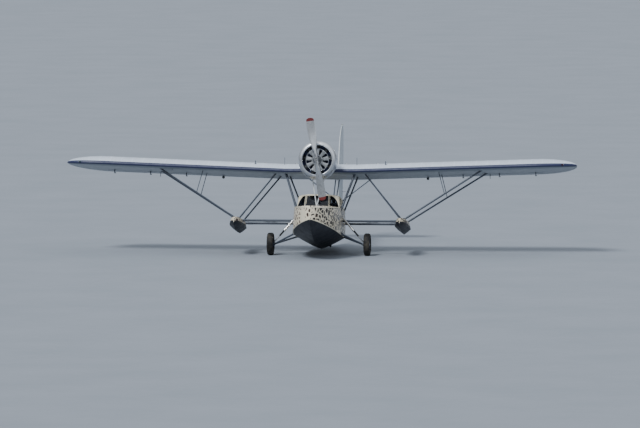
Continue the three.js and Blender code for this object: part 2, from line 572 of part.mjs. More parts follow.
let elevator = tailplaneForm.intersect(box(-elevatorEnd, elevatorEnd, elevatorHinge, 2 * far, -far, far))
  .add(rod([-elevatorEnd, elevatorHinge, tailplaneHeight], [elevatorEnd, elevatorHinge, tailplaneHeight],
    elevatorNose, 12))
  .subtract(rudderRoom)
  .add(rod([-200, elevatorHinge, tailplaneHeight], [200, elevatorHinge, tailplaneHeight], torqueTube, 12));
for (const x of tailHinges.elevator.flatMap((v) => [v, -v])) {
  const place = [x, elevatorHinge, tailplaneHeight];
  stabilizer = stabilizer.add(hingeBracket(elevatorWall + 20).translate(place));
  elevator = elevator.subtract(hingeNotch(elevatorWall + 20, high / 4).translate(place));
}
let fin = finForm.intersect(box(-far, far, -far, rudderHinge - finWall, -far, far));
let rudder = finForm.intersect(box(-far, far, rudderHinge, 2 * far, -far, far))
  .add(rod([0, rudderHinge, -560], [0, rudderHinge, 2030], rudderNose, 12));
for (const z of tailHinges.rudder) {
  fin = fin.add(setRudderHinge(hingeBracket(finWall + 20), z));
  rudder = rudder.subtract(setRudderHinge(hingeNotch(finWall + 20, high / 4), z));
}
fin = fitted(fin, stabilizer, ...everyWay)
  .subtract(rod([-far, elevatorHinge, tailplaneHeight], [far, elevatorHinge, tailplaneHeight], torqueTube + 8, 16));
const boom = fitted(fitted(loft(boomSections.map((s) => ovalRing(s))), fin, [1, 0, 0], [-1, 0, 0], [0, -1, 0]),
  stabilizer, [0, 0, -1]);
addPiece("tail_boom", boom, "white");
addPiece("fin", fin, "white");
addPiece("rudder", rudder, "white");
addPiece("stabilizer", stabilizer, "white");
addPiece("elevator", elevator, "white");
pivots.rudder_turn = { at: [0, rudderHinge, 750], axis: [0, 0, 1] };
pivots.elevator_turn = { at: [0, elevatorHinge, tailplaneHeight], axis: [1, 0, 0] };

// Floats. The columns are the hull's, with x measured from the float's own middle.
const floatStations = [
  [-700, -1680, 10, -1652, 12, -1580, -1556],
  [-560, -1775, 112, -1672, 104, -1545, -1500],
  [-230, -1848, 184, -1700, 172, -1525, -1462],
  [300, -1880, 208, -1716, 196, -1520, -1450],
  [950, -1868, 202, -1712, 190, -1520, -1450],
  [1450, -1775, 152, -1670, 145, -1524, -1464],
  [1780, -1612, 16, -1588, 16, -1548, -1530],
];
const floatLeft = loft(floatStations.map(hullRing)).translate([floatOut, 0, 0]);
addPiece("float_left", floatLeft, "cream");
addPiece("float_right", mirrored(floatLeft), "cream");

// Struts to port, each from its lower to its upper end. Columns: chord and thickness last.
const wingUnder = centreForm.add(wingLeft);
const underWing = 120; // how far an upper end runs into the wing before it is cut back
const ontoDeck = -1445;
const wingRise = (x) => Math.max(0, x - centreHalf) * Math.tan(dihedral);
const upperEnd = (x, y) => [x, y, underWing - 60 - y * Math.tan(wing.incidence) + wingRise(x)];
const ontoFloat = (y) => box(2465, 2665, y - 34, y + 34, ontoDeck - 100, ontoDeck + 20);
const atHull = () => null;
const strutTable = [ // name, foot on hull or float, then each strut's lower end, upper end, chord and thickness
  ["cabane_front", atHull, [[676, -10, -1240], upperEnd(1110, sparFront), 120, 68]],
  ["cabane_rear", atHull, [[585, 1500, -1250], upperEnd(1085, sparRear), 100, 50]],
  ["wing_struts_front", ontoFloat, [[2505, sparFront, ontoDeck], upperEnd(1290, sparFront), 90, 46],
    [[2625, sparFront, ontoDeck], upperEnd(5190, sparFront), 110, 52]],
  ["wing_struts_rear", ontoFloat, [[2505, sparRear, ontoDeck], upperEnd(1290, sparRear), 90, 46],
    [[2625, sparRear, ontoDeck], upperEnd(5190, sparRear), 110, 52]],
  ["outrigger_front", atHull, [[650, sparFront, outriggerHeight], [2450, sparFront, outriggerHeight], 130, 66]],
  ["outrigger_rear", atHull, [[600, sparRear, outriggerHeight], [2450, sparRear, outriggerHeight], 130, 66]],
];
for (const [name, foot, ...bars] of strutTable) {
  let piece = foot(bars[0][0][1]);
  for (const [from, to, chord, thickness] of bars) {
    const bar = strut(from, to, chord, thickness);
    piece = piece ? piece.add(bar) : bar;
  }
  piece = fitted(piece, hullForm, [1, 0, 0], [0, 0, 1]);
  piece = fitted(piece, floatLeft, [-1, 0, 0], [0, 0, 1]);
  piece = largest(fitted(piece, wingUnder, [0, 0, -1]));
  addPiece(name + "_left", piece, "slate");
  addPiece(name + "_right", mirrored(piece), "slate");
}

// Two struts from the deck before the windshield to the nacelle, and one pair under the boom.
const engineVee = strut([0, -685, -1150], [250, -170, 40], 80, 36)
  .add(strut([0, -685, -1150], [-250, -170, 40], 80, 36));
addPiece("engine_vee_strut",
  fitted(fitted(engineVee, hullForm, [0, 0, 1]), nacelle, [0, 0, -1], [0, -1, 0]), "white");
const boomStrut = fitted(fitted(strut([40, 4060, -1120], [60, 5550, 300], 80, 36), hullForm, [1, 0, 0], [0, 0, 1]),
  boom, [0, 0, -1]);
addPiece("boom_strut_left", boomStrut, "slate");
addPiece("boom_strut_right", mirrored(boomStrut), "slate");
const tailplaneStrut = fitted(fitted(strut([20, 6250, -430], [1250, 6250, tailplaneHeight], 60, 30),
  fin, [1, 0, 0]), stabilizer, [0, 0, -1]);
addPiece("tailplane_strut_left", tailplaneStrut, "slate");
addPiece("tailplane_strut_right", mirrored(tailplaneStrut), "slate");

// Main gear to port: an arm of two tubes from the chine to the knuckle, and a telescopic strut above it.
const knuckle = { from: 1352, to: 1430, radius: 44, axle: 25 };
const { x: axleX, y: axleY, z: axleZ } = mainAxle;
const hullSideAt = -1965; // height of the arm's hinges, just above the chine
const armTube = (y) => rod([700, y, hullSideAt], [knuckle.from + 20, axleY, axleZ], 30, 10, 26);
const gearArm = fitted(armTube(-270).add(armTube(640))
  .add(rod([knuckle.from, axleY, axleZ], [knuckle.to, axleY, axleZ], knuckle.radius, 16))
  .add(rod([knuckle.to - 5, axleY, axleZ], [axleX + 38, axleY, axleZ], knuckle.axle, 16)),
  hullForm, [1, 0, 0], [0, 0, -1]);
const shockFoot = [knuckle.from + 34, axleY, axleZ + 20];
const shockHead = [690, axleY, -1390];
const between = (a, b, t) => a.map((v, k) => v + t * (b[k] - v));
const shock = fitted(fitted(
  rod(shockFoot, shockHead, 19, 10).add(rod(between(shockFoot, shockHead, 0.45), shockHead, 34, 12)),
  hullForm, [1, 0, 0]), gearArm, [0, 0, 1], [-1, 0, 0]);
addPiece("gear_arm_left", gearArm, "slate");
addPiece("gear_arm_right", mirrored(gearArm), "slate");
addPiece("shock_strut_left", shock, "slate");
addPiece("shock_strut_right", mirrored(shock), "slate");

// Main wheels. Sections are [radius, x], with x outboard of the wheel's own middle.
const rim = 205;
const tyreProfile = [[rim, -64], [250, -90], [302, -95], [336, -72], [tyreRadius, -34], [tyreRadius, 34],
  [336, 72], [302, 95], [250, 90], [rim, 64]];
const wheelProfile = [[26, -62], [90, -56], [120, -30], [rim - 22, -34], [rim - GAP, -64], [rim - GAP, 64],
  [rim - 22, 34], [120, 30], [60, 64], [0.01, 64], [0.01, 42], [26, 42]];
const setWheel = (solid) => turnedX(solid, up).translate([axleX, axleY, axleZ]);
const tyre = setWheel(wheelOf(tyreProfile));
const disk = setWheel(wheelOf(wheelProfile));
addPiece("tyre_left", tyre, "rubber");
addPiece("tyre_right", mirrored(tyre), "rubber");
addPiece("wheel_left", disk, "navy");
addPiece("wheel_right", mirrored(disk), "navy");
pivots.wheel_left_spin = { at: [axleX, axleY, axleZ], axis: [1, 0, 0] };
pivots.wheel_right_spin = { at: [-axleX, axleY, axleZ], axis: [1, 0, 0] };

// Hinge lines of the ailerons and the hatch, carried through the same placings as their pieces.
function placed(point, ...turns) {
  const v = new THREE.Vector3(...point);
  for (const turn of turns) turn(v);
  return v.toArray();
}
const wingTurns = [
  (v) => v.applyAxisAngle(new THREE.Vector3(1, 0, 0), -wing.incidence),
  (v) => v.applyAxisAngle(new THREE.Vector3(0, 1, 0), -dihedral),
];
const aileronAxis = placed([1, 0, 0], ...wingTurns);
const aileronAt = placed([aileron.from, aileron.hingeAt, aileronHinge], ...wingTurns,
  (v) => v.add(new THREE.Vector3(centreHalf + GAP, 0, 0)));
pivots.aileron_left_turn = { at: aileronAt, axis: aileronAxis };
pivots.aileron_right_turn = { at: [-aileronAt[0], aileronAt[1], aileronAt[2]],
  axis: [aileronAxis[0], -aileronAxis[1], -aileronAxis[2]] };
const slopeTurn = (v) => v.applyAxisAngle(new THREE.Vector3(1, 0, 0), -slope.angle);
pivots.hatch_open = {
  at: placed([hatch.axis, hatchMiddle, hatch.lift + hatch.knuckle], slopeTurn,
    (v) => v.add(new THREE.Vector3(0, slope.y, slope.z))),
  axis: placed([0, 1, 0], slopeTurn),
};

// Set down on the wheels, nose up, with the origin on the ground under the middle of the whole.
group.rotation.x = -groundPitch;
group.position.set(0, 0, rise);
group.updateMatrixWorld(true);
const extent = new THREE.Box3().setFromObject(group, true);
group.position.y = -(extent.min.y + extent.max.y) / 2;
group.updateMatrixWorld(true);

const flyingBoat = new THREE.Group();
flyingBoat.add(group);
flyingBoat.userData.pivots = pivots;

export default flyingBoat;
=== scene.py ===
# %% [markdown]
# # An amphibious flying boat on its wheels
# The aircraft is about 16 m across: a wing on struts over a short boat hull, a radial engine in a ring
# cowl on the wing's front edge, a boom that carries the tail, and a float out on each side.
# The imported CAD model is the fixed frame. Each cell below dresses one part of it.

import json
from math import ceil, cos, hypot, pi, radians, sin, sqrt, tan

import bmesh
import bpy
from mathutils import Matrix, Vector
from mathutils.bvhtree import BVHTree


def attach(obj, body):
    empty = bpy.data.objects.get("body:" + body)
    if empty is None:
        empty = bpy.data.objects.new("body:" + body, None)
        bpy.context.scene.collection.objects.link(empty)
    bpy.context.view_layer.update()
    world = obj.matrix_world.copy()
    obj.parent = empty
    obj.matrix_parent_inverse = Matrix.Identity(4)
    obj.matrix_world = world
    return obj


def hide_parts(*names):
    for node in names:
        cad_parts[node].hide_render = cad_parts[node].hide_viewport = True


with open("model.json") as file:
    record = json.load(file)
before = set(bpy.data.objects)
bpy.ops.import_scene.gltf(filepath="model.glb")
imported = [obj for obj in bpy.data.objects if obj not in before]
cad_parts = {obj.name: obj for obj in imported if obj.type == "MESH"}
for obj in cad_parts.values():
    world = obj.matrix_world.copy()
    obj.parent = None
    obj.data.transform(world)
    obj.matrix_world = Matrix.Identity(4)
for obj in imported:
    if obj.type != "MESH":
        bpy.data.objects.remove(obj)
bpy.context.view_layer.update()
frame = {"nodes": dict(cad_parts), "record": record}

# %% [markdown]
# The pieces are drawn in the aircraft's own axes, because a wing is easy to describe level: X to port,
# Y aft, Z up, from the middle of the wing's leading edge. The parked aircraft sits nose up by nine
# degrees. The propeller's joint says where the thrust line lies in the frame, which fixes the placing.

# %% The aircraft's own axes
PITCH = radians(9)
THRUST_POINT = Vector((0, -1.06, 0.26))
joints = {j["name"]: j for j in frame["record"]["behaviour"]["joints"]}
tilt = Matrix.Rotation(-PITCH, 4, "X")
place = Matrix.Translation(Vector(joints["propeller_spin"]["pos_m"]) - tilt @ THRUST_POINT) @ tilt
wing_nose = place @ Vector((0, 0, 0))
print("leading edge at", [round(v, 4) for v in wing_nose])

# %% [markdown]
# The photograph was taken from far away with a long lens, a little to the aircraft's right and a little
# above it. A camera 200 m off with a matching lens gives the same flat perspective.

# %% Camera
YAW, LIFT = radians(6), radians(4)
PIXELS_PER_METRE = 32.4
CAMERA_DISTANCE = 200.0
SENSOR_WIDTH = 36
PHOTO_SIZE = (640, 428)
NOSE_PIXEL = (319.6, 170.7)  # where the middle of the leading edge shows


def aimed(name, data, direction, at=(0, 0, 0)):
    """Adds a camera or a sun that looks along the direction."""
    made = bpy.data.objects.new(name, data)
    made.location = at
    made.rotation_mode = "QUATERNION"
    made.rotation_quaternion = Vector(direction).to_track_quat("-Z", "Y")
    bpy.context.scene.collection.objects.link(made)
    return made


lens = bpy.data.cameras.new("camera")
lens.sensor_width = SENSOR_WIDTH
lens.lens = SENSOR_WIDTH * CAMERA_DISTANCE * PIXELS_PER_METRE / PHOTO_SIZE[0]
lens.clip_end = 4000
back = Vector((sin(YAW) * cos(LIFT), -cos(YAW) * cos(LIFT), sin(LIFT)))
right = Vector((cos(YAW), sin(YAW), 0))
aim = wing_nose + right * (PHOTO_SIZE[0] / 2 - NOSE_PIXEL[0]) / PIXELS_PER_METRE
aim -= back.cross(right) * (PHOTO_SIZE[1] / 2 - NOSE_PIXEL[1]) / PIXELS_PER_METRE
bpy.context.scene.camera = aimed("camera", lens, -back, aim + back * CAMERA_DISTANCE)
print("lens", round(lens.lens), "mm")

# %% [markdown]
# Node trees are written with one small helper. It adds a node and links its inputs in one call. A socket
# of a group is given by its default value, or by its kind where something is always linked to it.

# %% A helper for node trees
class Tree:
    def __init__(self, tree):
        self.tree = tree

    def link(self, value, socket):
        self.tree.links.new(value, socket)

    def node(self, kind, inputs=(), out=0, **settings):
        made = self.tree.nodes.new(kind if "Node" in kind else "ShaderNode" + kind)
        for key, value in settings.items():
            setattr(made, key, value)
        for key, value in dict(inputs).items():
            if isinstance(value, bpy.types.NodeSocket):
                self.link(value, made.inputs[key])
            else:
                made.inputs[key].default_value = value
        return made.outputs[out]

    def math(self, operation, a, b=0.0):
        return self.node("Math", {0: a, 1: b}, operation=operation)

    def add(self, a, b):
        return self.math("ADD", a, b)

    def times(self, a, b):
        return self.math("MULTIPLY", a, b)

    def ramp(self, value, low, high, to_low=0.0, to_high=1.0):
        return self.node("MapRange", {0: value, 1: low, 2: high, 3: to_low, 4: to_high})

    def mix(self, share, a, b):
        return self.node("Mix", {0: share, 6: a, 7: b}, out=2, data_type="RGBA")

    def noise(self, at, scale, detail=4.0, rough=0.55, **more):
        inputs = {"Vector": at, "Scale": scale, "Detail": detail, "Roughness": rough, **more}
        return self.node("TexNoise", inputs)

    def stretched(self, at, factors):
        return self.node("Mapping", {"Vector": at, "Scale": factors})

    def xyz(self, at):
        return self.node("SeparateXYZ", {"Vector": at}).node.outputs


def node_group(kind, name, inputs, outputs):
    """A node group: its helper, what goes in and what comes out."""
    group = bpy.data.node_groups.new(name, kind)
    for way, sockets in (("INPUT", inputs), ("OUTPUT", outputs)):
        for label, value in sockets.items():
            known = value if isinstance(value, str) else "Color" if isinstance(value, tuple) else "Float"
            socket = group.interface.new_socket(label, in_out=way, socket_type="NodeSocket" + known)
            if known != value:
                socket.default_value = value
    return Tree(group), group.nodes.new("NodeGroupInput").outputs, group.nodes.new("NodeGroupOutput").inputs


def effect(name, inputs, *outputs):
    """A group of shader nodes that many finishes share."""
    return node_group("ShaderNodeTree", name, inputs,
                      {label: "Color" if label == "Colour" else "Float" for label in outputs})


# %% [markdown]
# The light is a studio's: a pale sky that grows brighter overhead, one large soft key from the front left
# and above, and a weak fill. An even sky would leave the forms flat, and a small lamp would draw hard
# shadows.

# %% Light
world = bpy.data.worlds.new("studio")
bpy.context.scene.world = world
world.use_nodes = True
sky, background = Tree(world.node_tree), world.node_tree.nodes["Background"].inputs
background["Color"].default_value = (0.80, 0.86, 0.94, 1)
overhead = sky.xyz(sky.node("TexCoord", out="Generated"))["Z"]
sky.link(sky.ramp(overhead, 0, 1, 0.13, 0.95), background["Strength"])
for name, power, width, direction, colour in (("key", 2.4, 14, (0.33, 0.62, -0.80), (0.93, 0.97, 1.0)),
                                              ("fill", 0.22, 40, (-0.7, 0.35, -0.35), (0.86, 0.92, 1.0))):
    sun = bpy.data.lights.new(name, "SUN")
    sun.energy, sun.angle, sun.color = power, radians(width), colour
    aimed(name, sun, direction)
print("lights", len(bpy.data.lights))

# %% [markdown]
# A material has two layers here. Node groups hold the effects that many finishes share, and give out only
# colours, masks and heights. The shader stays in the material, so each finish sets its own gloss.
#
# Old paint is never one colour. It fades in broad patches, rain leaves faint upright streaks, dust and
# small chips collect, and the brush leaves a fine waviness. One group makes all of that from a base colour.

# %% Effect: weathered paint
t, given, result = effect("weathered_paint", {
    "At": "Vector", "Colour": (0.8, 0.8, 0.8, 1), "Grime": (0.2, 0.17, 0.13, 1), "Fading": 0.12,
    "Soiling": 0.25, "Roughness": 0.4}, "Colour", "Roughness", "Height")
at = given["At"]
broad = t.noise(at, 1.1, 3)
faded = t.node("HueSaturation", {
    "Saturation": t.ramp(broad, 0.3, 0.7, 1.08, 0.9), "Color": given["Colour"],
    "Value": t.add(1.0, t.times(given["Fading"], t.ramp(broad, 0.25, 0.75, -1, 1)))})
streaks = t.noise(t.stretched(at, (9, 9, 0.8)), 1.6, 5, 0.62)
speckle = t.noise(at, 38, 3, 0.7)
dirt = t.add(t.ramp(streaks, 0.5, 0.86, 0, 0.8), t.ramp(speckle, 0.60, 0.85, 0, 0.7))
dirt = t.times(dirt, given["Soiling"])
t.link(t.mix(dirt, faded, given["Grime"]), result["Colour"])
gloss = t.add(given["Roughness"], t.ramp(t.noise(at, 6, 4), 0.3, 0.75, -0.05, 0.14))
t.link(t.add(gloss, t.times(dirt, 0.5)), result["Roughness"])
t.link(t.add(t.noise(at, 90, 2), t.times(dirt, 1.5)), result["Height"])

# %% [markdown]
# Riveted sheet shows as thin seams at even steps along the hull, each with a soft dent beside it. The
# seams are a mask of one coordinate, so the same group serves frames, stringers and cloth panels.

# %% Effect: seams at even steps
t, given, result = effect("even_seams", {"Along": 0.0, "Step": 0.45, "Width": 0.006}, "Seam", "Height")
nearest = t.math("PINGPONG", given["Along"], t.times(given["Step"], 0.5))
seam = t.math("LESS_THAN", nearest, given["Width"])
dent = t.ramp(nearest, 0.0, t.times(given["Step"], 0.22))
t.link(seam, result["Seam"])
t.link(t.math("SUBTRACT", dent, seam), result["Height"])

# %% [markdown]
# Cloth over ribs: a tape is sewn along each rib, lighter and slightly raised, with pinked edges and a row
# of stitches. The distance along the wing comes from an attribute that the wing's mesh carries.

# %% Effect: rib tapes
t, given, result = effect("rib_tapes", {"Along": 0.0, "Across": 0.0, "Step": 0.34, "Width": 0.024},
                          "Tape", "Height")
nearest = t.math("PINGPONG", given["Along"], t.times(given["Step"], 0.5))
pinking = t.times(t.math("PINGPONG", given["Across"], 0.006), 0.5)
tape = t.math("LESS_THAN", t.add(nearest, pinking), given["Width"])
stitch_along = t.math("LESS_THAN", t.math("PINGPONG", given["Across"], 0.035), 0.006)
stitch = t.times(stitch_along, t.math("LESS_THAN", nearest, 0.007))
t.link(tape, result["Tape"])
t.link(t.add(tape, t.times(stitch, 1.5)), result["Height"])

# %% [markdown]
# The hull carries dark patches on cream, like a wild animal's coat. Cells with a gap between them give
# such patches. Bending the coordinates first makes their edges uneven, and the cells vary in tone.

# %% Effect: patches of a coat
t, given, result = effect("coat_patches", {
    "At": "Vector", "Scale": 8.0, "Gap": 0.12, "Patch": "Color", "Ground": "Color"}, "Colour", "Mask")
wander = t.node("TexNoise", {"Vector": given["At"], "Scale": 7.0, "Detail": 3.0}, out=1)
wander = t.node("VectorMath", {0: wander, 1: (0.5, 0.5, 0.5)}, operation="SUBTRACT")
wander = t.node("VectorMath", {0: wander, "Scale": 0.11}, operation="SCALE")
bent = t.node("VectorMath", {0: given["At"], 1: wander}, operation="ADD")
cell = {"Vector": t.stretched(bent, (1, 0.62, 0.72)), "Scale": given["Scale"], "Randomness": 0.95}
edge = t.node("TexVoronoi", cell, feature="DISTANCE_TO_EDGE")
tone = t.node("SeparateColor", {0: t.node("TexVoronoi", cell, out=1)})
depth = t.math("SUBTRACT", edge, t.times(given["Gap"], t.ramp(tone, 0, 1, 0.65, 1.5)))
patch = t.ramp(depth, 0, 0.02)
paler = t.times(t.ramp(depth, 0.1, 0.17), t.ramp(tone, 0.4, 0.9, 0, 0.6))
browner = t.mix(paler, given["Patch"], (0.10, 0.05, 0.03, 1))
t.link(t.mix(patch, given["Ground"], browner), result["Colour"])
t.link(patch, result["Mask"])

# %% [markdown]
# Bare metal keeps the marks of its making. A turned disc has rings round its axis, and a drawn bar has
# fine lines along it. Stretched noise gives both, with scratches and a few oil marks on top.

# %% Effect: worked metal
t, given, result = effect("worked_metal", {"At": "Vector", "Colour": (0.6, 0.6, 0.6, 1), "Roughness": 0.3,
                                           "Oil": 0.2}, "Colour", "Roughness", "Height")
at = given["At"]
lines = t.noise(t.stretched(at, (1, 14, 1)), 30, 3, 0.6)
scratches = t.noise(t.stretched(at, (60, 3, 60)), 6, 2, 0.5)
oil = t.times(t.ramp(t.noise(at, 9, 5, 0.65), 0.52, 0.72), given["Oil"])
bright = t.node("HueSaturation", {"Color": given["Colour"], "Value": t.ramp(lines, 0.25, 0.75, 0.88, 1.1)})
t.link(t.mix(oil, bright, (0.03, 0.022, 0.015, 1)), result["Colour"])
worn = t.add(given["Roughness"], t.ramp(lines, 0.3, 0.7, -0.06, 0.1))
t.link(t.add(worn, t.ramp(scratches, 0.62, 0.7, 0, 0.12)), result["Roughness"])
t.link(t.add(lines, t.times(scratches, 0.6)), result["Height"])

# %% [markdown]
# Handling and flying stones take the paint off edges first: the front of a wing, the foot of a strut, the
# keel. The group breaks a mask up into small ragged chips, so bare metal shows only where something rubs.

# %% Effect: chips
t, given, result = effect("chips", {"At": "Vector", "Where": 0.3, "Size": 14.0}, "Mask")
flakes = t.noise(given["At"], given["Size"], 6, 0.72)
t.link(t.ramp(t.add(flakes, t.times(given["Where"], 0.25)), 0.70, 0.72), result["Mask"])
print("effects", [g.name for g in bpy.data.node_groups])

# %% [markdown]
# Every finish starts the same way: a shader, and a point that says where on the aircraft it is. The frame
# is tilted nose up, so a Mapping node turns Object coordinates back level.


def blank(name, slot=None, **sockets):
    """A new material, its tree, its shader and the point on the aircraft. Coat_Weight=1 sets Coat Weight."""
    material = bpy.data.materials.new(name)
    material.use_nodes = True
    shader = material.node_tree.nodes["Principled BSDF"]
    for label, value in sockets.items():
        shader.inputs[label.replace("_", " ")].default_value = value
    t = Tree(material.node_tree)
    level = {"Vector": t.node("TexCoord", out="Object"), "Rotation": (PITCH, 0, 0),
             "Location": place.inverted().translation}
    return material, t, shader.inputs, t.node("Mapping", level)


def use(t, group, **inputs):
    """Places a shared effect in a material and gives its outputs."""
    return t.node("Group", inputs, node_tree=bpy.data.node_groups[group]).node.outputs


def dress(t, sockets, colour, rough, height, depth):
    """Links what changes over the surface to the shader."""
    t.link(colour, sockets["Base Color"])
    t.link(rough, sockets["Roughness"])
    t.link(t.node("Bump", {"Height": height, "Strength": 0.6, "Distance": depth}), sockets["Normal"])


# %% [markdown]
# Most of the aircraft is painted sheet. One function makes all those paints from a few words: how faded
# and dirty, how glossy, whether seams cross it, and whether stones have chipped it.

# %% Painted finishes
BARE_METAL = (0.45, 0.46, 0.47, 1)
SEAM_SHADE = (0.06, 0.055, 0.05, 1)
FRAME_SEAMS = (1, 0.46, 0.004)  # axis, step and width


def painted(name, slot, colour, rough=0.38, fading=0.1, soiling=0.25, seams=None, chips=None, coat=0.0,
            metallic=0.0):
    """colour is three numbers, or a function that draws it."""
    material, t, sockets, at = blank(name, slot, Coat_Weight=coat, Coat_Roughness=0.15, Metallic=metallic)
    base = colour(t, at) if callable(colour) else (*colour, 1)
    paint = use(t, "weathered_paint", At=at, Colour=base, Fading=fading, Soiling=soiling, Roughness=rough)
    shade, height = paint["Colour"], t.times(paint["Height"], 0.12)
    if seams:
        axis, step, width = seams
        lines = use(t, "even_seams", Along=t.xyz(at)[axis], Step=step, Width=width)
        shade = t.mix(t.times(lines["Seam"], 0.5), shade, SEAM_SHADE)
        height = t.add(height, lines["Height"])
    if chips is not None:
        bare = use(t, "chips", At=at, Where=chips)["Mask"]
        shade = t.mix(bare, shade, BARE_METAL)
        t.link(bare, sockets["Metallic"])
    dress(t, sockets, shade, paint["Roughness"], height, 0.004)
    return material


def coat_colour(t, at):
    """Patches on cream, changed from side to side as painted light: smaller and browner to starboard, fewer
    on the starboard bow near the stem as painted highlight, and larger and darker to port as painted shade.
    """
    across, aft, _ = t.xyz(at)
    # painted highlight: fewer patches on the starboard bow near the stem
    plain = t.times(t.ramp(across, -0.36, -0.24), t.ramp(across, -0.09, 0.0, 1, 0))
    plain = t.times(plain, t.ramp(aft, -1.9, -1.6, 0.2, 0))
    gap = t.add(t.ramp(across, -0.3, 0.3, 0.14, 0.098), plain)
    # patches darker to port: painted shade
    patch = t.mix(t.ramp(across, -0.3, 0.1), (0.10, 0.045, 0.035, 1), (0.016, 0.010, 0.012, 1))
    ground = (0.93, 0.82, 0.62, 1)
    return use(t, "coat_patches", At=at, Scale=10.0, Gap=gap, Patch=patch, Ground=ground)["Colour"]


def ring_colour(t, at):
    """Bright metal with painted shade: darker towards the bottom of the ring."""
    painted_shade_low = t.ramp(t.xyz(at)[2], -0.25, 0.72, 0.8, 0)
    # the darker colour is painted shade on the ring's lower part
    return t.mix(painted_shade_low, (0.95, 0.97, 1.0, 1), (0.27, 0.30, 0.35, 1))


CREAM = (0.86, 0.79, 0.61)
WHITE = (0.72, 0.75, 0.76)
NAVY = (0.018, 0.026, 0.085)
BLACK = (0.008, 0.011, 0.019)
coat_paint = painted("coat paint", "cream", coat_colour, 0.36, soiling=0.3, seams=FRAME_SEAMS, coat=0.25)
plain_cream = painted("plain cream", "cream", CREAM, 0.36, coat=0.25)
cabin_paint = painted("cabin paint", "cream", CREAM, 0.36, 0.12, coat=0.25)
bottom_paint = painted("black bottom paint", "iron", BLACK, 0.42, 0.4, 0.15, FRAME_SEAMS, -0.35)
white_paint = painted("white paint", "white", WHITE, 0.34, seams=(1, 0.55, 0.003), coat=0.2)
ring_paint = painted("ring cowl paint", "white", ring_colour, 0.28, 0.06, 0.3, coat=0.2, metallic=0.85)
# Dark navy for the dial faces and, inside the cowl, painted shade: the cowl's inner lip, the baffle behind
# the cylinders and the nacelle's nose.
dark_paint_and_painted_shade = painted("dark paint inside the cowl", "iron", (0.11, 0.145, 0.32), 0.5, 0.3, 0.2)
strut_paint = painted("strut paint", "slate", (0.062, 0.078, 0.108), 0.36, 0.25, 0.3, chips=-0.2, coat=0.2)
navy_paint = painted("navy paint", "navy", NAVY, 0.32, 0.3, chips=-0.3, coat=0.3)
grey_paint = painted("grey engine paint", "iron", (0.10, 0.11, 0.12), 0.42, 0.2, 0.55)
iron_paint = painted("black engine enamel", "iron", (0.020, 0.023, 0.030), 0.46, 0.4, 0.5)
# The dark blue-grey cabin lining is painted shade inside the cabin.
lining_painted_shade = painted("cabin lining", None, (0.045, 0.05, 0.065), 0.75, 0.2, 0.4)
print("painted finishes", len(bpy.data.materials))

# %% [markdown]
# The wing is cloth over ribs, painted white with a navy band along its nose. The band follows the nose
# round the tips, so it can't be cut from a coordinate. The wing's mesh carries an attribute instead: the
# distance along the wing, the distance round the section from the nose, and which side it is.

# %% Cloth finishes
def doped_cloth(name, colour, stripe, below=0.0):
    """Cloth with rib tapes, a navy band out to the stripe's width from the nose, and painted shade on the
    underside.
    """
    material, t, sockets, at = blank(name, "white", Coat_Weight=0.15, Coat_Roughness=0.3)
    along, around, side = t.xyz(t.node("Attribute", attribute_name="skin", out="Vector"))
    tapes = use(t, "rib_tapes", Along=along, Across=around)
    paint = use(t, "weathered_paint", At=at, Colour=(*colour, 1), Fading=0.07, Soiling=0.28, Roughness=0.42)
    lighter = t.node("HueSaturation", {"Color": paint["Colour"], "Value": 1.07})
    shade = t.mix(tapes["Tape"], paint["Colour"], lighter)
    # painted shade: the underside is mixed towards a dark grey
    shade = t.mix(t.times(t.ramp(side, -0.5, 0.5, 1, 0), below), shade, (0.12, 0.15, 0.18, 1))
    band = t.ramp(around, stripe, stripe + 0.002, 1, 0)
    chipped = t.times(band, use(t, "chips", At=at, Where=-0.1)["Mask"])
    shade = t.mix(band, shade, t.mix(chipped, (*NAVY, 1), (0.5, 0.5, 0.5, 1)))
    weave = t.node("TexMagic", {"Vector": at, "Scale": 260.0, "Distortion": 0.6}, out=1)
    dress(t, sockets, shade, paint["Roughness"], t.add(tapes["Height"], t.times(weave, 0.08)), 0.0015)
    return material


# The blue cast of the wing cloth is a painted sky reflection on white, and 0.85 sets the painted shade on its
# underside.
wing_cloth = doped_cloth("wing cloth", (0.68, 0.745, 0.84), 0.07, 0.85)
# The tail cloth is the same white cloth, greyer and darker: painted shade.
shaded_tail_cloth = doped_cloth("tail cloth", (0.55, 0.605, 0.65), -1.0)

# %% [markdown]
# The metals share one group: polished aluminium for the disc before the engine and for the propeller,
# whose tips are painted dull red out from a radius, and steel, dark, bright or burnt.

# %% Metal finishes
def metal(name, colour, rough, oil, slot="alloy", across=(0, 0, 0), tip=None):
    """across turns the marks of the making. Beyond the radius tip the metal is painted."""
    material, t, sockets, at = blank(name, slot, Metallic=1.0)
    centred = t.node("Mapping", {"Vector": at, "Location": -THRUST_POINT})
    marks = t.node("Mapping", {"Vector": centred, "Rotation": across})
    worked = use(t, "worked_metal", At=marks, Colour=(*colour, 1), Roughness=rough, Oil=oil)
    shade = worked["Colour"]
    if tip:
        x, _, z = t.xyz(centred)
        red = t.math("GREATER_THAN", t.math("SQRT", t.add(t.times(x, x), t.times(z, z))), tip)
        shade = t.mix(red, shade, (0.17, 0.03, 0.03, 1))
        t.link(t.ramp(red, 0, 1, 1, 0.1), sockets["Metallic"])
    dress(t, sockets, shade, worked["Roughness"], worked["Height"], 0.0004)
    return material


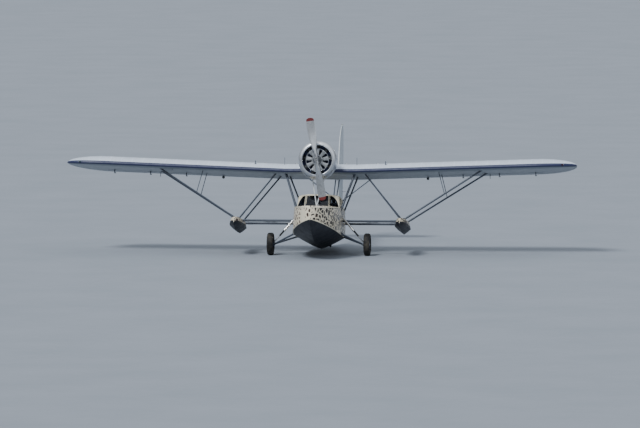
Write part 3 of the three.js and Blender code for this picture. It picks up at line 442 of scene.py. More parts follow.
polished = metal("polished aluminium", (0.74, 0.76, 0.78), 0.2, 0.2)
along_blade = (0, radians(100), 0)
blade_metal = metal("propeller aluminium", (0.68, 0.70, 0.72), 0.28, 0.15, across=along_blade, tip=1.19)
hub_steel = metal("polished hub steel", (0.55, 0.56, 0.58), 0.24, 0.2)
steel = metal("dark steel", (0.20, 0.20, 0.21), 0.38, 0.3, "slate")
bright_steel = metal("bright steel", (0.58, 0.58, 0.58), 0.22, 0.12)
burnt_steel = metal("burnt exhaust steel", (0.19, 0.125, 0.085), 0.55, 0.55, "iron")

# %% [markdown]
# Rubber, leather, glass and wood each behave in their own way. Rubber is matt and dusty, leather has a
# fine grain and creases, glass is clear with a faint tint, and floor boards show their grain.

# %% Rubber, leather, wood, glass and lenses
rubber, t, sockets, at = blank("tyre rubber", "rubber", Specular_IOR_Level=0.3)
dust = t.ramp(t.noise(at, 7, 5, 0.6), 0.42, 0.75, 0, 0.5)
shade = t.mix(dust, (0.012, 0.012, 0.013, 1), (0.16, 0.14, 0.11, 1))
dress(t, sockets, shade, t.ramp(dust, 0, 0.5, 0.62, 0.9), t.noise(at, 160, 3), 0.0006)

leather, t, sockets, at = blank("seat leather", "leather", Coat_Weight=0.1, Sheen_Weight=0.15)
grain = t.node("TexVoronoi", {"Vector": at, "Scale": 210.0}, feature="DISTANCE_TO_EDGE")
creases = t.ramp(t.noise(at, 16, 6, 0.7, Distortion=1.2), 0.46, 0.56)
shade = t.mix(t.ramp(t.noise(at, 4, 4), 0.3, 0.7), (0.16, 0.062, 0.026, 1), (0.26, 0.115, 0.05, 1))
shade = t.mix(t.ramp(grain, 0, 0.1, 0.35, 0), shade, (0.05, 0.02, 0.01, 1))
height = t.add(t.ramp(grain, 0, 0.25), t.times(creases, 1.2))
dress(t, sockets, shade, t.ramp(creases, 0, 1, 0.36, 0.56), height, 0.0008)

boards, t, sockets, at = blank("floor boards", Coat_Weight=0.3)
grain = t.noise(t.stretched(at, (22, 1.4, 22)), 3, 6, 0.65, Distortion=0.6)
seam = use(t, "even_seams", Along=t.xyz(at)[0], Step=0.11, Width=0.0015)["Seam"]
shade = t.mix(t.ramp(grain, 0.35, 0.7), (0.20, 0.115, 0.055, 1), (0.38, 0.245, 0.125, 1))
dress(t, sockets, t.mix(seam, shade, SEAM_SHADE), t.ramp(grain, 0.3, 0.7, 0.4, 0.6), grain, 0.001)

floor_finish, t, sockets, _ = blank("pale floor")
at = t.node("TexCoord", out="Object")
shade = t.mix(t.ramp(t.noise(at, 0.35, 5), 0.3, 0.7), (0.30, 0.332, 0.378, 1), (0.332, 0.364, 0.412, 1))
dress(t, sockets, shade, t.ramp(t.noise(at, 3, 3), 0.3, 0.7, 0.75, 0.9), t.noise(at, 40, 2), 0.001)


def clear(name, colour, rough=0.02):
    """Clear glass or a coloured lens, with faint smears in its gloss."""
    look = {"Base_Color": (*colour, 1), "Transmission_Weight": 1.0, "IOR": 1.46}
    material, t, sockets, at = blank(name, "glass", **look)
    smears = t.noise(t.stretched(at, (3, 3, 1)), 5, 5, 0.6)
    t.link(t.ramp(smears, 0.5, 0.8, rough, rough + 0.12), sockets["Roughness"])
    return material


# The dark blue tint darkens what shows through the panes: painted shade of the cabin inside.
window_glass = clear("window glass", (0.27, 0.33, 0.45))
red_lens = clear("red lens", (0.8, 0.03, 0.02))
green_lens = clear("green lens", (0.03, 0.6, 0.15))
lamp_glass = clear("lamp glass", (0.95, 0.95, 0.9))
print("finishes", len(bpy.data.materials))

# %% [markdown]
# The shapes come from a few makers' moves: run a skin over rings, turn a profile round an axis, draw a
# tube along a path. Each move gives a form: points, faces and a paint number for each face. A form is
# drawn in aircraft axes and is set in place only once, when it becomes a piece.

# %% Forms
def spread(start, end, count):
    return [start + (end - start) * k / (count - 1) for k in range(count)]


def loft(rings, paint=None):
    """A skin from ring to ring, with its ends closed. paint(ring, point) numbers a face."""
    count = len(rings[0])
    faces, paints = [], []
    for r in range(len(rings) - 1):
        for i in range(count):
            j = (i + 1) % count
            faces.append((r * count + i, r * count + j, (r + 1) * count + j, (r + 1) * count + i))
            paints.append(paint(r, i) if paint else 0)
    last = (len(rings) - 1) * count
    ends = [tuple(range(count))[::-1], tuple(range(last, last + count))]
    return [tuple(p) for ring in rings for p in ring], faces + ends, paints + [0, 0]


def moved(form, matrix):
    points, faces, paints = form
    return [tuple(matrix @ Vector(p)) for p in points], faces, paints


def joined(*forms):
    points, faces, paints = [], [], []
    for more, rest, numbers in forms:
        base = len(points)
        points += more
        faces += [tuple(i + base for i in face) for face in rest]
        paints += numbers
    return points, faces, paints


def flipped(form):
    """The same form on the other side of the aircraft."""
    points, faces, paints = form
    return [(-x, y, z) for x, y, z in points], [face[::-1] for face in faces], paints


def both(*forms):
    return joined(*forms, *(flipped(form) for form in forms))


def turned(profile, sides=32, axis="Y", at=(0, 0, 0), paint=None):
    """A (radius, along) profile turned about an axis through a point. paint(point) numbers a face."""
    rings = []
    for k in range(sides):
        a = 2 * pi * k / sides
        ring = []
        for radius, along in profile:
            u, v = radius * sin(a), radius * cos(a)
            ring.append({"X": (along, u, v), "Y": (u, along, v), "Z": (u, v, along)}[axis])
        rings.append(ring)
    points, faces, paints = loft(rings + [rings[0]], (lambda _, k: paint(k)) if paint else None)
    return moved((points, faces[:-2], paints[:-2]), Matrix.Translation(at))


def hoop(radius, along, thickness, sides, corners=8, axis="Y", at=(0, 0, 0)):
    """A round bar bent into a ring."""
    angles = spread(0, 2 * pi, corners + 1)[:-1]
    profile = [(radius + thickness * cos(a), along + thickness * sin(a)) for a in angles]
    return turned(profile, sides, axis, at)


def frame_along(path):
    """Side and upward directions at each point of a path, without twist."""
    ways = [(b - a).normalized() for a, b in zip(path, path[1:])]
    ways = [ways[0], *[(a + b).normalized() for a, b in zip(ways, ways[1:])], ways[-1]]
    side = ways[0].cross(Vector((0, 0, 1)) if abs(ways[0].z) < 0.9 else Vector((0, 1, 0))).normalized()
    sides = []
    for way in ways:
        side = (side - way * side.dot(way)).normalized()
        sides.append((side, side.cross(way)))
    return sides


def tube(path, radius, sides=10, flat=1.0):
    """A tube along points. radius is one number or one for each point; flat squeezes its height."""
    path = [Vector(p) for p in path]
    radii = radius if isinstance(radius, (list, tuple)) else [radius] * len(path)
    angles = [2 * pi * k / sides for k in range(sides)]
    return loft([[point + side * (r * cos(a)) + up * (r * flat * sin(a)) for a in angles]
                 for point, r, (side, up) in zip(path, radii, frame_along(path))])


def block(low, high):
    (x0, y0, z0), (x1, y1, z1) = low, high
    return loft([[(x, y0, z0), (x, y1, z0), (x, y1, z1), (x, y0, z1)] for x in (x0, x1)])


# %% [markdown]
# A form becomes a piece here: its doubles are merged, its faces point outwards, its edges are eased by a
# small bevel where the part has corners, and the aircraft's placing goes into its mesh. Then it rides on
# its CAD body and says which CAD nodes it stands for.

# %% Meshes
def mesh_of(form):
    points, faces, paints = form
    mesh = bpy.data.meshes.new("form")
    mesh.from_pydata(points, [], faces)
    mesh.polygons.foreach_set("material_index", paints)
    bm = bmesh.new()
    bm.from_mesh(mesh)
    bmesh.ops.remove_doubles(bm, verts=bm.verts, dist=1e-5)
    bmesh.ops.dissolve_degenerate(bm, edges=bm.edges, dist=1e-6)
    bmesh.ops.recalc_face_normals(bm, faces=bm.faces)
    bm.to_mesh(mesh)
    bm.free()
    return mesh


def as_object(mesh):
    made = bpy.data.objects.new("form", mesh)
    bpy.context.scene.collection.objects.link(made)
    return made


def applied(made):
    """The mesh that an object's modifiers give. The object goes."""
    mesh = bpy.data.meshes.new_from_object(made.evaluated_get(bpy.context.evaluated_depsgraph_get()))
    bpy.data.objects.remove(made)
    return mesh


def changed(mesh, kind, **settings):
    """The mesh after one modifier."""
    made = as_object(mesh)
    modifier = made.modifiers.new("change", kind)
    for key, value in settings.items():
        setattr(modifier, key, value)
    return applied(made)


def eased(mesh, width, segments=2, angle=40):
    """Rounds the corners of a mesh."""
    limit = {"limit_method": "ANGLE", "angle_limit": radians(angle)}
    return changed(mesh, "BEVEL", width=width, segments=segments, **limit)


def carved(mesh, cutter, operation="DIFFERENCE"):
    """Cuts one mesh by another."""
    tool = as_object(cutter)
    result = changed(mesh, "BOOLEAN", object=tool, operation=operation, solver="EXACT")
    bpy.data.objects.remove(tool)
    return result


def combined(*meshes):
    """Several meshes as one, with their faces' paint numbers kept."""
    bm = bmesh.new()
    for mesh in meshes:
        bm.from_mesh(mesh)
    result = bpy.data.meshes.new("combined")
    bm.to_mesh(result)
    bm.free()
    return result


def copy_of(node, *ease):
    """A merged copy of a CAD node in aircraft axes, with flat faces joined again and corners eased."""
    bm = bmesh.new()
    bm.from_mesh(frame["nodes"][node].data)
    bmesh.ops.remove_doubles(bm, verts=bm.verts, dist=1e-5)
    bmesh.ops.dissolve_limit(bm, angle_limit=radians(1), verts=bm.verts, edges=bm.edges)
    bm.transform(place.inverted())
    mesh = bpy.data.meshes.new("copy")
    bm.to_mesh(mesh)
    bm.free()
    return eased(mesh, *ease) if ease else mesh


# %% Pieces
totals = {"pieces": 0, "triangles": 0}


def add_piece(name, shape, *finishes, body="airframe", stands_for="", slot=None, ease=0.0, smooth=32):
    """shape is a form or a mesh in aircraft axes. stands_for names CAD nodes, with spaces between."""
    mesh = mesh_of(shape) if isinstance(shape, tuple) else shape
    if ease:
        mesh = eased(mesh, ease)
    mesh.transform(place)
    paints = [min(face.material_index, len(finishes) - 1) for face in mesh.polygons]
    mesh.materials.clear()  # this also sets every face back to the first finish
    for finish in finishes:
        mesh.materials.append(finish)
    mesh.polygons.foreach_set("material_index", paints)
    mesh.shade_smooth()
    mesh.set_sharp_from_angle(angle=radians(smooth))
    piece = as_object(mesh)
    piece.name = mesh.name = name
    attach(piece, body)
    if stands_for:
        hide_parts(*stands_for.split())
    mesh.calc_loop_triangles()
    totals["pieces"] += 1
    totals["triangles"] += len(mesh.loop_triangles)
    return piece


def to_side(shape, side):
    """A form, or a copy of a mesh, that is drawn for the left, on its own side."""
    if isinstance(shape, tuple):
        return flipped(shape) if side == "right" else shape
    mesh = shape.copy()
    if side == "right":
        mesh.transform(Matrix.Scale(-1, 4, (1, 0, 0)))
        mesh.flip_normals()
    return mesh


def add_pair(name, shape, *finishes, body="airframe", stands_for="", **more):
    """A piece on each side. {} in a name is the side."""
    for side in ("left", "right"):
        add_piece(name.format(side), to_side(shape, side), *finishes, body=body.format(side),
                  stands_for=stands_for.format(side), **more)


# %% [markdown]
# What repeats is made by Geometry Nodes. The first tree sets rivet heads at even steps along any lines:
# it turns edges into curves, samples them by length, and stands a small dome on each point, square to the
# skin. The second sets copies of a part round an axis, for bolts, cylinders and tread blocks.

# %% Geometry Nodes: rivet rows and rings of parts
def made_real(t, copies, finish, result):
    """The end of both trees: real meshes with their finish."""
    real = t.node("GeometryNodeRealizeInstances", {"Geometry": copies})
    t.link(t.node("GeometryNodeSetMaterial", {"Geometry": real, "Material": finish}), result[0])


t, given, result = node_group("GeometryNodeTree", "rivet_rows", {
    "Geometry": "Geometry", "Spacing": "Float", "Head width": "Float", "Head height": "Float",
    "Finish": "Material"}, {"Geometry": "Geometry"})
curves = t.node("GeometryNodeMeshToCurve", {"Mesh": given["Geometry"]})
points = t.node("GeometryNodeResampleCurve", {"Curve": curves, "Length": given["Spacing"]}, mode="LENGTH")
head = t.node("GeometryNodeMeshUVSphere", {"Segments": 6, "Rings": 4, "Radius": 0.5})
size = t.node("CombineXYZ", {0: given["Head width"], 1: given["Head width"], 2: given["Head height"]})
out_from_skin = t.node("GeometryNodeInputNamedAttribute", {"Name": "out"}, data_type="FLOAT_VECTOR")
turn = t.node("FunctionNodeAlignRotationToVector", {"Vector": out_from_skin}, axis="Z")
heads = {"Points": points, "Instance": head, "Rotation": turn, "Scale": size}
made_real(t, t.node("GeometryNodeInstanceOnPoints", heads), given["Finish"], result)

t, given, result = node_group("GeometryNodeTree", "ring_of_parts", {
    "Geometry": "Geometry", "Count": "Int", "First angle": "Float", "Axis": "Vector",
    "Finish": "Material"}, {"Geometry": "Geometry"})
points = t.node("GeometryNodePoints", {"Count": given["Count"]})
step = t.math("DIVIDE", 2 * pi, given["Count"])
angle = t.add(t.times(t.node("GeometryNodeInputIndex"), step), given["First angle"])
turn = t.node("FunctionNodeAxisAngleToRotation", {"Axis": given["Axis"], "Angle": angle})
parts = {"Points": points, "Instance": given["Geometry"], "Rotation": turn}
made_real(t, t.node("GeometryNodeInstanceOnPoints", parts), given["Finish"], result)


def through(mesh, tree, **values):
    """Runs a mesh through a tree, with the tree's inputs set by their identifiers."""
    group = bpy.data.node_groups[tree]
    keys = {item.name: item.identifier for item in group.interface.items_tree if item.in_out == "INPUT"}
    made = as_object(mesh)
    nodes = made.modifiers.new("nodes", "NODES")
    for label, value in values.items():
        nodes[keys[label.replace("_", " ")]] = value
    nodes.node_group = group
    return applied(made)


THRUST_LINE = Vector((0, 0, THRUST_POINT.z))


def ring_of(form, count, finish, first=0.0, axis=(0, 1, 0), at=THRUST_LINE):
    """Copies of a form round an axis through a point, as one mesh. The form is drawn round the origin."""
    mesh = through(mesh_of(form), "ring_of_parts", Count=count, First_angle=first, Axis=axis, Finish=finish)
    mesh.transform(Matrix.Translation(at))
    return mesh


def add_ring(name, form, count, finish, first=0.0, at=THRUST_LINE, **more):
    add_piece(name, ring_of(form, count, finish, first, at=at), finish, **more)


def rivet_rows(name, lines, finish, spacing, width, height):
    """Rivet heads along lines of (point, outward direction) pairs."""
    mesh = bpy.data.meshes.new(name)
    edges, base = [], 0
    for line in lines:
        edges += [(base + i, base + i + 1) for i in range(len(line) - 1)]
        base += len(line)
    mesh.from_pydata([p for line in lines for p, _ in line], edges, [])
    outward = mesh.attributes.new("out", "FLOAT_VECTOR", "POINT")
    outward.data.foreach_set("vector", [c for line in lines for _, d in line for c in d])
    heads = through(mesh, "rivet_rows", Spacing=spacing, Head_width=width, Head_height=height, Finish=finish)
    add_piece(name, heads, finish)


# %% [markdown]
# ## The wing
# The section is the CAD's: a cambered line with a thickness laid off each side. Between the ribs the
# cloth sags a few millimetres, so each bay gets four rings instead of one. The tip rounds off in plan.

# %% Wing section
CHORD, CAMBER, CAMBER_AT, THICKNESS = 2.03, 0.06, 0.4, 0.168
INCIDENCE, DIHEDRAL = radians(2.3), radians(2.1)
CENTRE_HALF, HALF_SPAN, TIP = 1.1, 7.925, 1.3
PANEL = (HALF_SPAN - CENTRE_HALF) / cos(DIHEDRAL)
RIB_STEP = 0.34
SAG = 0.02  # of the section's thickness
STEPS = 22
set_wing = Matrix.Rotation(-INCIDENCE, 4, "X")
set_panel = Matrix.Translation((CENTRE_HALF, 0, 0)) @ Matrix.Rotation(-DIHEDRAL, 4, "Y") @ set_wing


def camber_line(t):
    if t < CAMBER_AT:
        return CAMBER / CAMBER_AT ** 2 * (2 * CAMBER_AT * t - t * t)
    return CAMBER / (1 - CAMBER_AT) ** 2 * (1 - 2 * CAMBER_AT + 2 * CAMBER_AT * t - t * t)


def half_thickness(t):
    shape = 0.2969 * sqrt(t) - 0.126 * t - 0.3516 * t ** 2 + 0.2843 * t ** 3 - 0.1015 * t ** 4
    return 5 * THICKNESS * shape


def wing_side(t, side=1, chord=CHORD, fullness=1.0):
    """A point of the section: side is 1 above and -1 below."""
    return t * chord, (camber_line(t) + side * half_thickness(t) * fullness) * chord


def tip_chord(s):
    u = max(0.0, (s - (PANEL - TIP)) / TIP)
    return CHORD * sqrt(max(0.0, 1 - u * u))


def swept(chord):
    """How far aft the nose lies where the tip narrows the chord."""
    return 0.2 * (CHORD - chord)


def wing_ring(s, fullness=1.0, first=0.0, last=1.0):
    """The section's points between two shares of the chord, upper side out and lower side back."""
    chord = tip_chord(s)
    shares = [min(max((1 - cos(pi * i / STEPS)) / 2, first), last) for i in range(STEPS + 1)]
    upper = [wing_side(t, 1, chord, fullness) for t in shares]
    lower = [wing_side(t, -1, chord, fullness) for t in shares[:0:-1]]
    return [(s, y + swept(chord), z) for y, z in upper + lower]


def bay_stations(start, end):
    """Stations along the span with their fullness: full on a rib, less between ribs."""
    found = [(start, 1.0)]
    for bay in range(int(start / RIB_STEP), int(end / RIB_STEP) + 1):
        for share, sag in ((0.0, 0.0), (0.14, 0.45), (0.5, 1.0), (0.86, 0.45)):
            s = (bay + share) * RIB_STEP
            if start + 0.02 < s < end - 0.02:
                found.append((s, 1.0 - SAG * sag))
    return found + [(end, 1.0)]


def covered(form, measure):
    """The form's mesh with its skin attribute: distance along, distance round from the nose, and side."""
    mesh = mesh_of(form)
    values = [c for v in mesh.vertices for c in measure(v.co)]
    mesh.attributes.new("skin", "FLOAT_VECTOR", "POINT").data.foreach_set("vector", values)
    return mesh


nose_arc = [(0.0, 0.0)]
shares = [0.0] + [0.0005 * 1.25 ** k for k in range(34)]
for before, share in zip(shares, shares[1:]):
    (y0, z0), (y, z) = wing_side(before), wing_side(share)
    nose_arc.append((y, nose_arc[-1][1] + hypot(y - y0, z - z0)))


def round_from_nose(y, chord):
    """Distance over the skin from the nose to the point at y, for the full chord's shape."""
    y = max(0.0, (y - swept(chord)) * CHORD / chord)
    for (a, arc_a), (b, arc_b) in zip(nose_arc, nose_arc[1:]):
        if y <= b:
            return (arc_a + (arc_b - arc_a) * (y - a) / (b - a)) * chord / CHORD
    return y


def wing_skin(co):
    chord = max(tip_chord(abs(co.x)), 0.05)
    return abs(co.x), round_from_nose(co.y, chord), 1.0 if co.z > 0 else -1.0


print("panel", round(PANEL, 3), "m, ribs", int(PANEL / RIB_STEP))

# %% [markdown]
# The aileron's bay is cut out of the panel's rear. A cut by boolean would leave long thin faces on the
# thin cloth. Instead the section is simply stopped at the rear wall between the bay's two end ribs.

# %% Wing panels and centre section
BAY_FROM, BAY_TO, AILERON_HINGE, AILERON_WALL = 2.45, 5.70, 1.6, 1.536
CLOSE_TO_TIP = 0.5
rings = [wing_ring(*station) for station in bay_stations(0.0, BAY_FROM)]
rings += [wing_ring(s, f, last=AILERON_WALL / tip_chord(s)) for s, f in bay_stations(BAY_FROM, BAY_TO)]
rings += [wing_ring(*station) for station in bay_stations(BAY_TO, PANEL - CLOSE_TO_TIP)]
rings += [wing_ring(PANEL - CLOSE_TO_TIP + 0.498 * sin(pi / 2 * k / 12)) for k in range(1, 13)]
panel = covered(loft(rings), wing_skin)
panel.transform(set_panel)
add_pair("wing_{}_cloth", panel, wing_cloth, stands_for="wing_{}")
stations = bay_stations(0.02, CENTRE_HALF)
rings = [wing_ring(s, f) for s, f in [(-s, f) for s, f in stations[::-1]] + stations]
centre = covered(loft(rings), wing_skin)
centre.transform(set_wing)
add_piece("wing_center_cloth", centre, wing_cloth, stands_for="wing_center")

# %% [markdown]
# Each aileron is the wing's own section from the hinge line back, with a round nose about the hinge, so it
# can turn inside the bay. It rides on its own CAD body, and small brackets on the wing hold its pins.

# %% Ailerons
NOSE_TURNS = (-1.1, -0.55, 0, 0.55, 1.1)
hinge_height = camber_line(AILERON_HINGE / CHORD) * CHORD
rings = []
for s, fullness in bay_stations(BAY_FROM + 0.008, BAY_TO - 0.008):
    chord = tip_chord(s)
    ring = wing_ring(s, fullness, (AILERON_HINGE - swept(chord)) / chord)
    nose = [(s, AILERON_HINGE - 0.05 * cos(a), hinge_height + 0.05 * sin(a)) for a in NOSE_TURNS]
    rings.append([p for p in ring if p[1] > AILERON_HINGE - 1e-6] + nose)
shortest = min(len(ring) for ring in rings)
aileron = covered(loft([ring[:shortest - 5] + ring[-5:] for ring in rings]), wing_skin)
aileron.transform(set_panel)
add_pair("aileron_{}_cloth", aileron, wing_cloth, body="aileron_{}", stands_for="aileron_{}")
brackets = []
for s in (3.22, 4.35, 5.48):
    brackets += [block((s - 0.012, 1.44, -0.085), (s + 0.012, 1.56, 0.03)),
                 block((s - 0.004, 1.46, -0.12), (s + 0.004, 1.585, -0.02)),
                 tube([(s - 0.03, 1.57, -0.098), (s + 0.03, 1.57, -0.098)], 0.012, 8)]
add_pair("aileron_brackets_{}", moved(joined(*brackets), set_panel), strut_paint, ease=0.002)
horn = tube([(4.05, 1.66, 0.02), (4.05, 1.60, -0.15)], [0.012, 0.008], 8)
add_pair("aileron_horn_{}", moved(horn, set_panel), steel, body="aileron_{}")
print("wing pieces", totals)

# %% [markdown]
# ## Tables that flow
# A hull, a boom or a fin is known at a few stations only. Straight lines between them would show as
# facets. A cubic that never overshoots its two neighbours gives every size in between, from one table.

# %% Smooth sizes between stations
def flowing(rows, at):
    """The other columns of a table at a value of its first column."""
    k = max(0, min(len(rows) - 2, sum(row[0] <= at for row in rows) - 1))
    width = rows[k + 1][0] - rows[k][0]
    u = (at - rows[k][0]) / width
    result = []
    for c in range(1, len(rows[0])):
        slopes = [(b[c] - a[c]) / (b[0] - a[0]) for a, b in zip(rows, rows[1:])]
        rises = []
        for i in (k, k + 1):
            before, after = slopes[max(i - 1, 0)], slopes[min(i, len(slopes) - 1)]
            rises.append(0.0 if before * after <= 0 else 2 * before * after / (before + after) * width)
        (a, b), (da, db) = (rows[k][c], rows[k + 1][c]), rises
        result.append(a + da * u + (3 * (b - a) - 2 * da - db) * u * u + (2 * (a - b) + da + db) * u ** 3)
    return result


# %% [markdown]
# ## Fin, rudder, tailplane and elevator
# Each pair is one outline that a hinge line divides. The fixed part stops at a wall, and the moving part
# starts at the hinge with a round nose. Both are covered in the same taped cloth as the wing, made darker
# as painted shade.

# %% Tail sections
FIN_ROWS = [
    (-0.61, 6.42, 6.70, 0.030), (-0.54, 6.06, 6.92, 0.06), (-0.38, 5.86, 7.05, 0.084),
    (-0.06, 5.76, 7.12, 0.092), (0.75, 5.73, 7.15, 0.092), (1.28, 5.85, 7.148, 0.084),
    (1.54, 5.95, 7.14, 0.076), (1.80, 6.16, 7.105, 0.066), (1.98, 6.37, 7.05, 0.052),
    (2.07, 6.51, 6.98, 0.036), (2.10, 6.62, 6.88, 0.020)]
TAILPLANE_ROWS = [
    (0, 5.85, 7.02, 0.104), (0.9, 5.905, 7.02, 0.098), (1.5, 5.975, 7.005, 0.088),
    (1.78, 6.08, 6.94, 0.070), (1.92, 6.22, 6.83, 0.044), (1.965, 6.38, 6.70, 0.020)]
TAIL_SECTION = [(0, 0), (0.03, 0.4), (0.15, 0.85), (0.38, 1), (0.7, 0.62), (1, 0.1)]
FIN_FOOT, FIN_TOP, TAILPLANE_TIP = FIN_ROWS[0][0], FIN_ROWS[-1][0], TAILPLANE_ROWS[-1][0]
RUDDER_HINGE, ELEVATOR_HINGE, HINGE_WALL, NOSE_RADIUS = 6.62, 6.48, 0.052, 0.034
TAILPLANE_HEIGHT, ELEVATOR_END = 0.53, 1.70
TO_THE_REAR = 9.0  # further aft than any section


def tail_ring(rows, at, first, last, hinge=None, count=12):
    """(aft, out) points of the section between two distances aft, with a round nose if it has a hinge."""
    lead, trail, thickness = flowing(rows, at)
    first, last = max(first, lead), min(last, trail)
    aft = [first + (1 - cos(pi * k / count)) / 2 * (last - first) for k in range(count + 1)]
    out = [flowing(TAIL_SECTION, (y - lead) / (trail - lead))[0] * thickness / 2 for y in aft]
    ring = [*zip(aft, out), *[(y, -h) for y, h in list(zip(aft, out))[::-1]]]
    if hinge is not None:
        radius = max(0.0005, min(NOSE_RADIUS, hinge - lead, out[0] + 0.004))
        ring += [(max(hinge, lead) - radius * cos(a), radius * sin(a)) for a in (-1.0, -0.5, 0, 0.5, 1.0)]
    return ring


def tail_stations(rows, start, end):
    """Stations close together at the rounded tips."""
    first, last = rows[0][0], rows[-1][0]
    close = [last - d for d in (0.004, 0.015, 0.035, 0.06, 0.09)]
    if first != 0:
        close += [first + d for d in (0.004, 0.015, 0.035, 0.06)]
    even = spread(start, end, max(3, ceil((end - start) / (RIB_STEP / 4))))
    return sorted({*even, *(s for s in close if start < s < end)})


def sewn(form, rows, upright=False):
    """Cloth over a tail form."""
    def measure(co):
        s, across = (co.z, co.x) if upright else (abs(co.x), co.z)
        lead = flowing(rows, min(max(s, rows[0][0]), rows[-1][0]))[0]
        return abs(s), max(0.0, co.y - lead), 1.0 if across > 0 else -1.0

    return covered(form, measure)


# %% [markdown]
# The fin is a frame of tubes under cloth, and the rudder hangs on its rear post. A thin box could be bent
# into shape, but level sections from the table give the round top at once. A tube of its own makes the
# hard front edge that the cloth wraps.

# %% Fin and rudder
def fin_ring(z, first, last, hinge=None):
    return [(x, y, z) for y, x in tail_ring(FIN_ROWS, z, first, last, hinge)]


fin_wall = RUDDER_HINGE - HINGE_WALL
fin_top = next(z for z in spread(1.9, FIN_TOP, 60) if flowing(FIN_ROWS, z)[0] > fin_wall - 0.012)
rings = [fin_ring(z, 0, fin_wall) for z in tail_stations(FIN_ROWS, FIN_FOOT, fin_top)]
add_piece("fin_cloth", sewn(loft(rings), FIN_ROWS, True), shaded_tail_cloth, stands_for="fin")
edge = [(z, *flowing(FIN_ROWS, z)) for z in spread(FIN_FOOT + 0.05, fin_top, 30)]
edge_tube = tube([(0, lead + 0.012, z) for z, lead, _, _ in edge], [0.2 * row[3] for row in edge])
add_piece("fin_leading_edge", edge_tube, white_paint)
stations = tail_stations(FIN_ROWS, FIN_FOOT, FIN_TOP)
rings = [fin_ring(z, RUDDER_HINGE, TO_THE_REAR, RUDDER_HINGE) for z in stations]
add_piece("rudder_cloth", sewn(loft(rings), FIN_ROWS, True), shaded_tail_cloth, body="rudder", stands_for="rudder")

# %% [markdown]
# The tailplane crosses the fin at mid height. Its sections run from tip to tip in one skin, so the middle
# has no seam. The two halves of the elevator share a torque tube, and their inner corners are cut back to
# let the rudder swing.

# %% Tailplane and elevator
def tailplane_ring(x, first, last, hinge=None):
    ring = tail_ring(TAILPLANE_ROWS, min(abs(x), TAILPLANE_TIP), first, last, hinge)
    return [(x, y, TAILPLANE_HEIGHT + z) for y, z in ring]


inner = ELEVATOR_END + 0.012
tips = [(x, TO_THE_REAR) for x in tail_stations(TAILPLANE_ROWS, inner, TAILPLANE_TIP)]
middle = [(x, ELEVATOR_HINGE - HINGE_WALL) for x in spread(-inner, inner, 41)]
across = [(-x, last) for x, last in tips[::-1]] + middle + tips
rings = [tailplane_ring(x, 0.0, last) for x, last in across]
add_piece("tailplane_cloth", sewn(loft(rings), TAILPLANE_ROWS), shaded_tail_cloth, stands_for="stabilizer")
ELEVATOR_ROOT, ROOT_SHARE = 0.4, 0.3
rings = []
for share in spread(0, 1, 21):
    x = ELEVATOR_ROOT + share * (ELEVATOR_END - ELEVATOR_ROOT)
    ring = tailplane_ring(x, ELEVATOR_HINGE, TO_THE_REAR, ELEVATOR_HINGE)
    if share < ROOT_SHARE:  # the inner edge leaves room for the rudder's swing
        pull = 1 - share / ROOT_SHARE
        ring = [(x - pull * (ELEVATOR_ROOT - 0.125 - max(0.0, y - 6.54) * 0.33), y, z) for x, y, z in ring]
    rings.append(ring)
elevator = sewn(both(loft(rings)), TAILPLANE_ROWS)
add_piece("elevator_cloth", elevator, shaded_tail_cloth, body="elevator", stands_for="elevator")
torque_tube = tube([(x, ELEVATOR_HINGE, TAILPLANE_HEIGHT) for x in (-0.2, 0.2)], 0.0195, 16)
add_piece("elevator_torque_tube", torque_tube, steel, body="elevator")

# %% [markdown]
# The tail's small hardware: hinge plates with their pins, and a horn on each moving surface.

# %% Hinges and horns of the tail
plates = []
for z in (-0.23, 0.85, 1.5):
    plates += [block((-0.016, 6.545, z - 0.006), (0.016, 6.632, z + 0.006)),
               tube([(0, RUDDER_HINGE, z - 0.03), (0, RUDDER_HINGE, z + 0.03)], 0.008)]
z = TAILPLANE_HEIGHT
for x in (-1.35, -0.52, 0.52, 1.35):
    plates += [block((x - 0.006, 6.41, z - 0.016), (x + 0.006, 6.492, z + 0.016)),
               tube([(x - 0.03, ELEVATOR_HINGE, z), (x + 0.03, ELEVATOR_HINGE, z)], 0.008)]
add_piece("tail_hinges", joined(*plates), steel)
horn = tube([(0.02, 6.66, -0.04), (0.15, 6.63, -0.04)], [0.014, 0.008], 8, 0.5)
add_piece("rudder_horn", both(horn), steel, body="rudder")
upper, lower = (tube([(0.2, 6.52, z + s * 0.03), (0.2, 6.49, z + s * 0.14)], [0.012, 0.007], 8, 0.5)
                for s in (1, -1))
add_piece("elevator_horns", both(upper, lower), steel, body="elevator")
print("tail", totals)

# %% [markdown]
# ## Nacelle and boom
# One skin runs from the firewall behind the engine, over the wing, back to the tail. It is oval in section
# and rises slowly aft. Bands cover its joints, and rivets hold the bands.

# %% Nacelle and boom
BODY_ROWS = [
    (-0.40, 0.255, 0.40, 0.40), (-0.10, 0.25, 0.394, 0.396), (0.35, 0.235, 0.356, 0.376),
    (1.0, 0.20, 0.285, 0.305), (2.1, 0.165, 0.205, 0.19), (3.8, 0.255, 0.165, 0.16),
    (5.5, 0.345, 0.128, 0.132), (6.4, 0.385, 0.096, 0.105)]
FIREWALL, SPLIT, BOOM_END = -0.386, 2.1, 6.38
BANDS = (-0.33, 0.02, 1.25, SPLIT, 3.0, 3.9, 4.8, 5.6)
BAND_RISE = 0.0022


def body_ring(y, grow=0.0, sides=44):
    z, half_width, half_height = flowing(BODY_ROWS, y)
    angles = [2 * pi * k / sides for k in range(sides)]
    return [((half_width + grow) * sin(a), y, z + (half_height + grow) * cos(a)) for a in angles]


def rounded_end(y, inward):
    """Rings that close the skin's end with a soft corner."""
    z = flowing(BODY_ROWS, y)[0]
    return [[(x * s, y + inward * d, z + (h - z) * s) for x, _, h in body_ring(y)]
            for s, d in ((0.97, -0.012), (0.9, -0.02), (0.6, -0.024))]


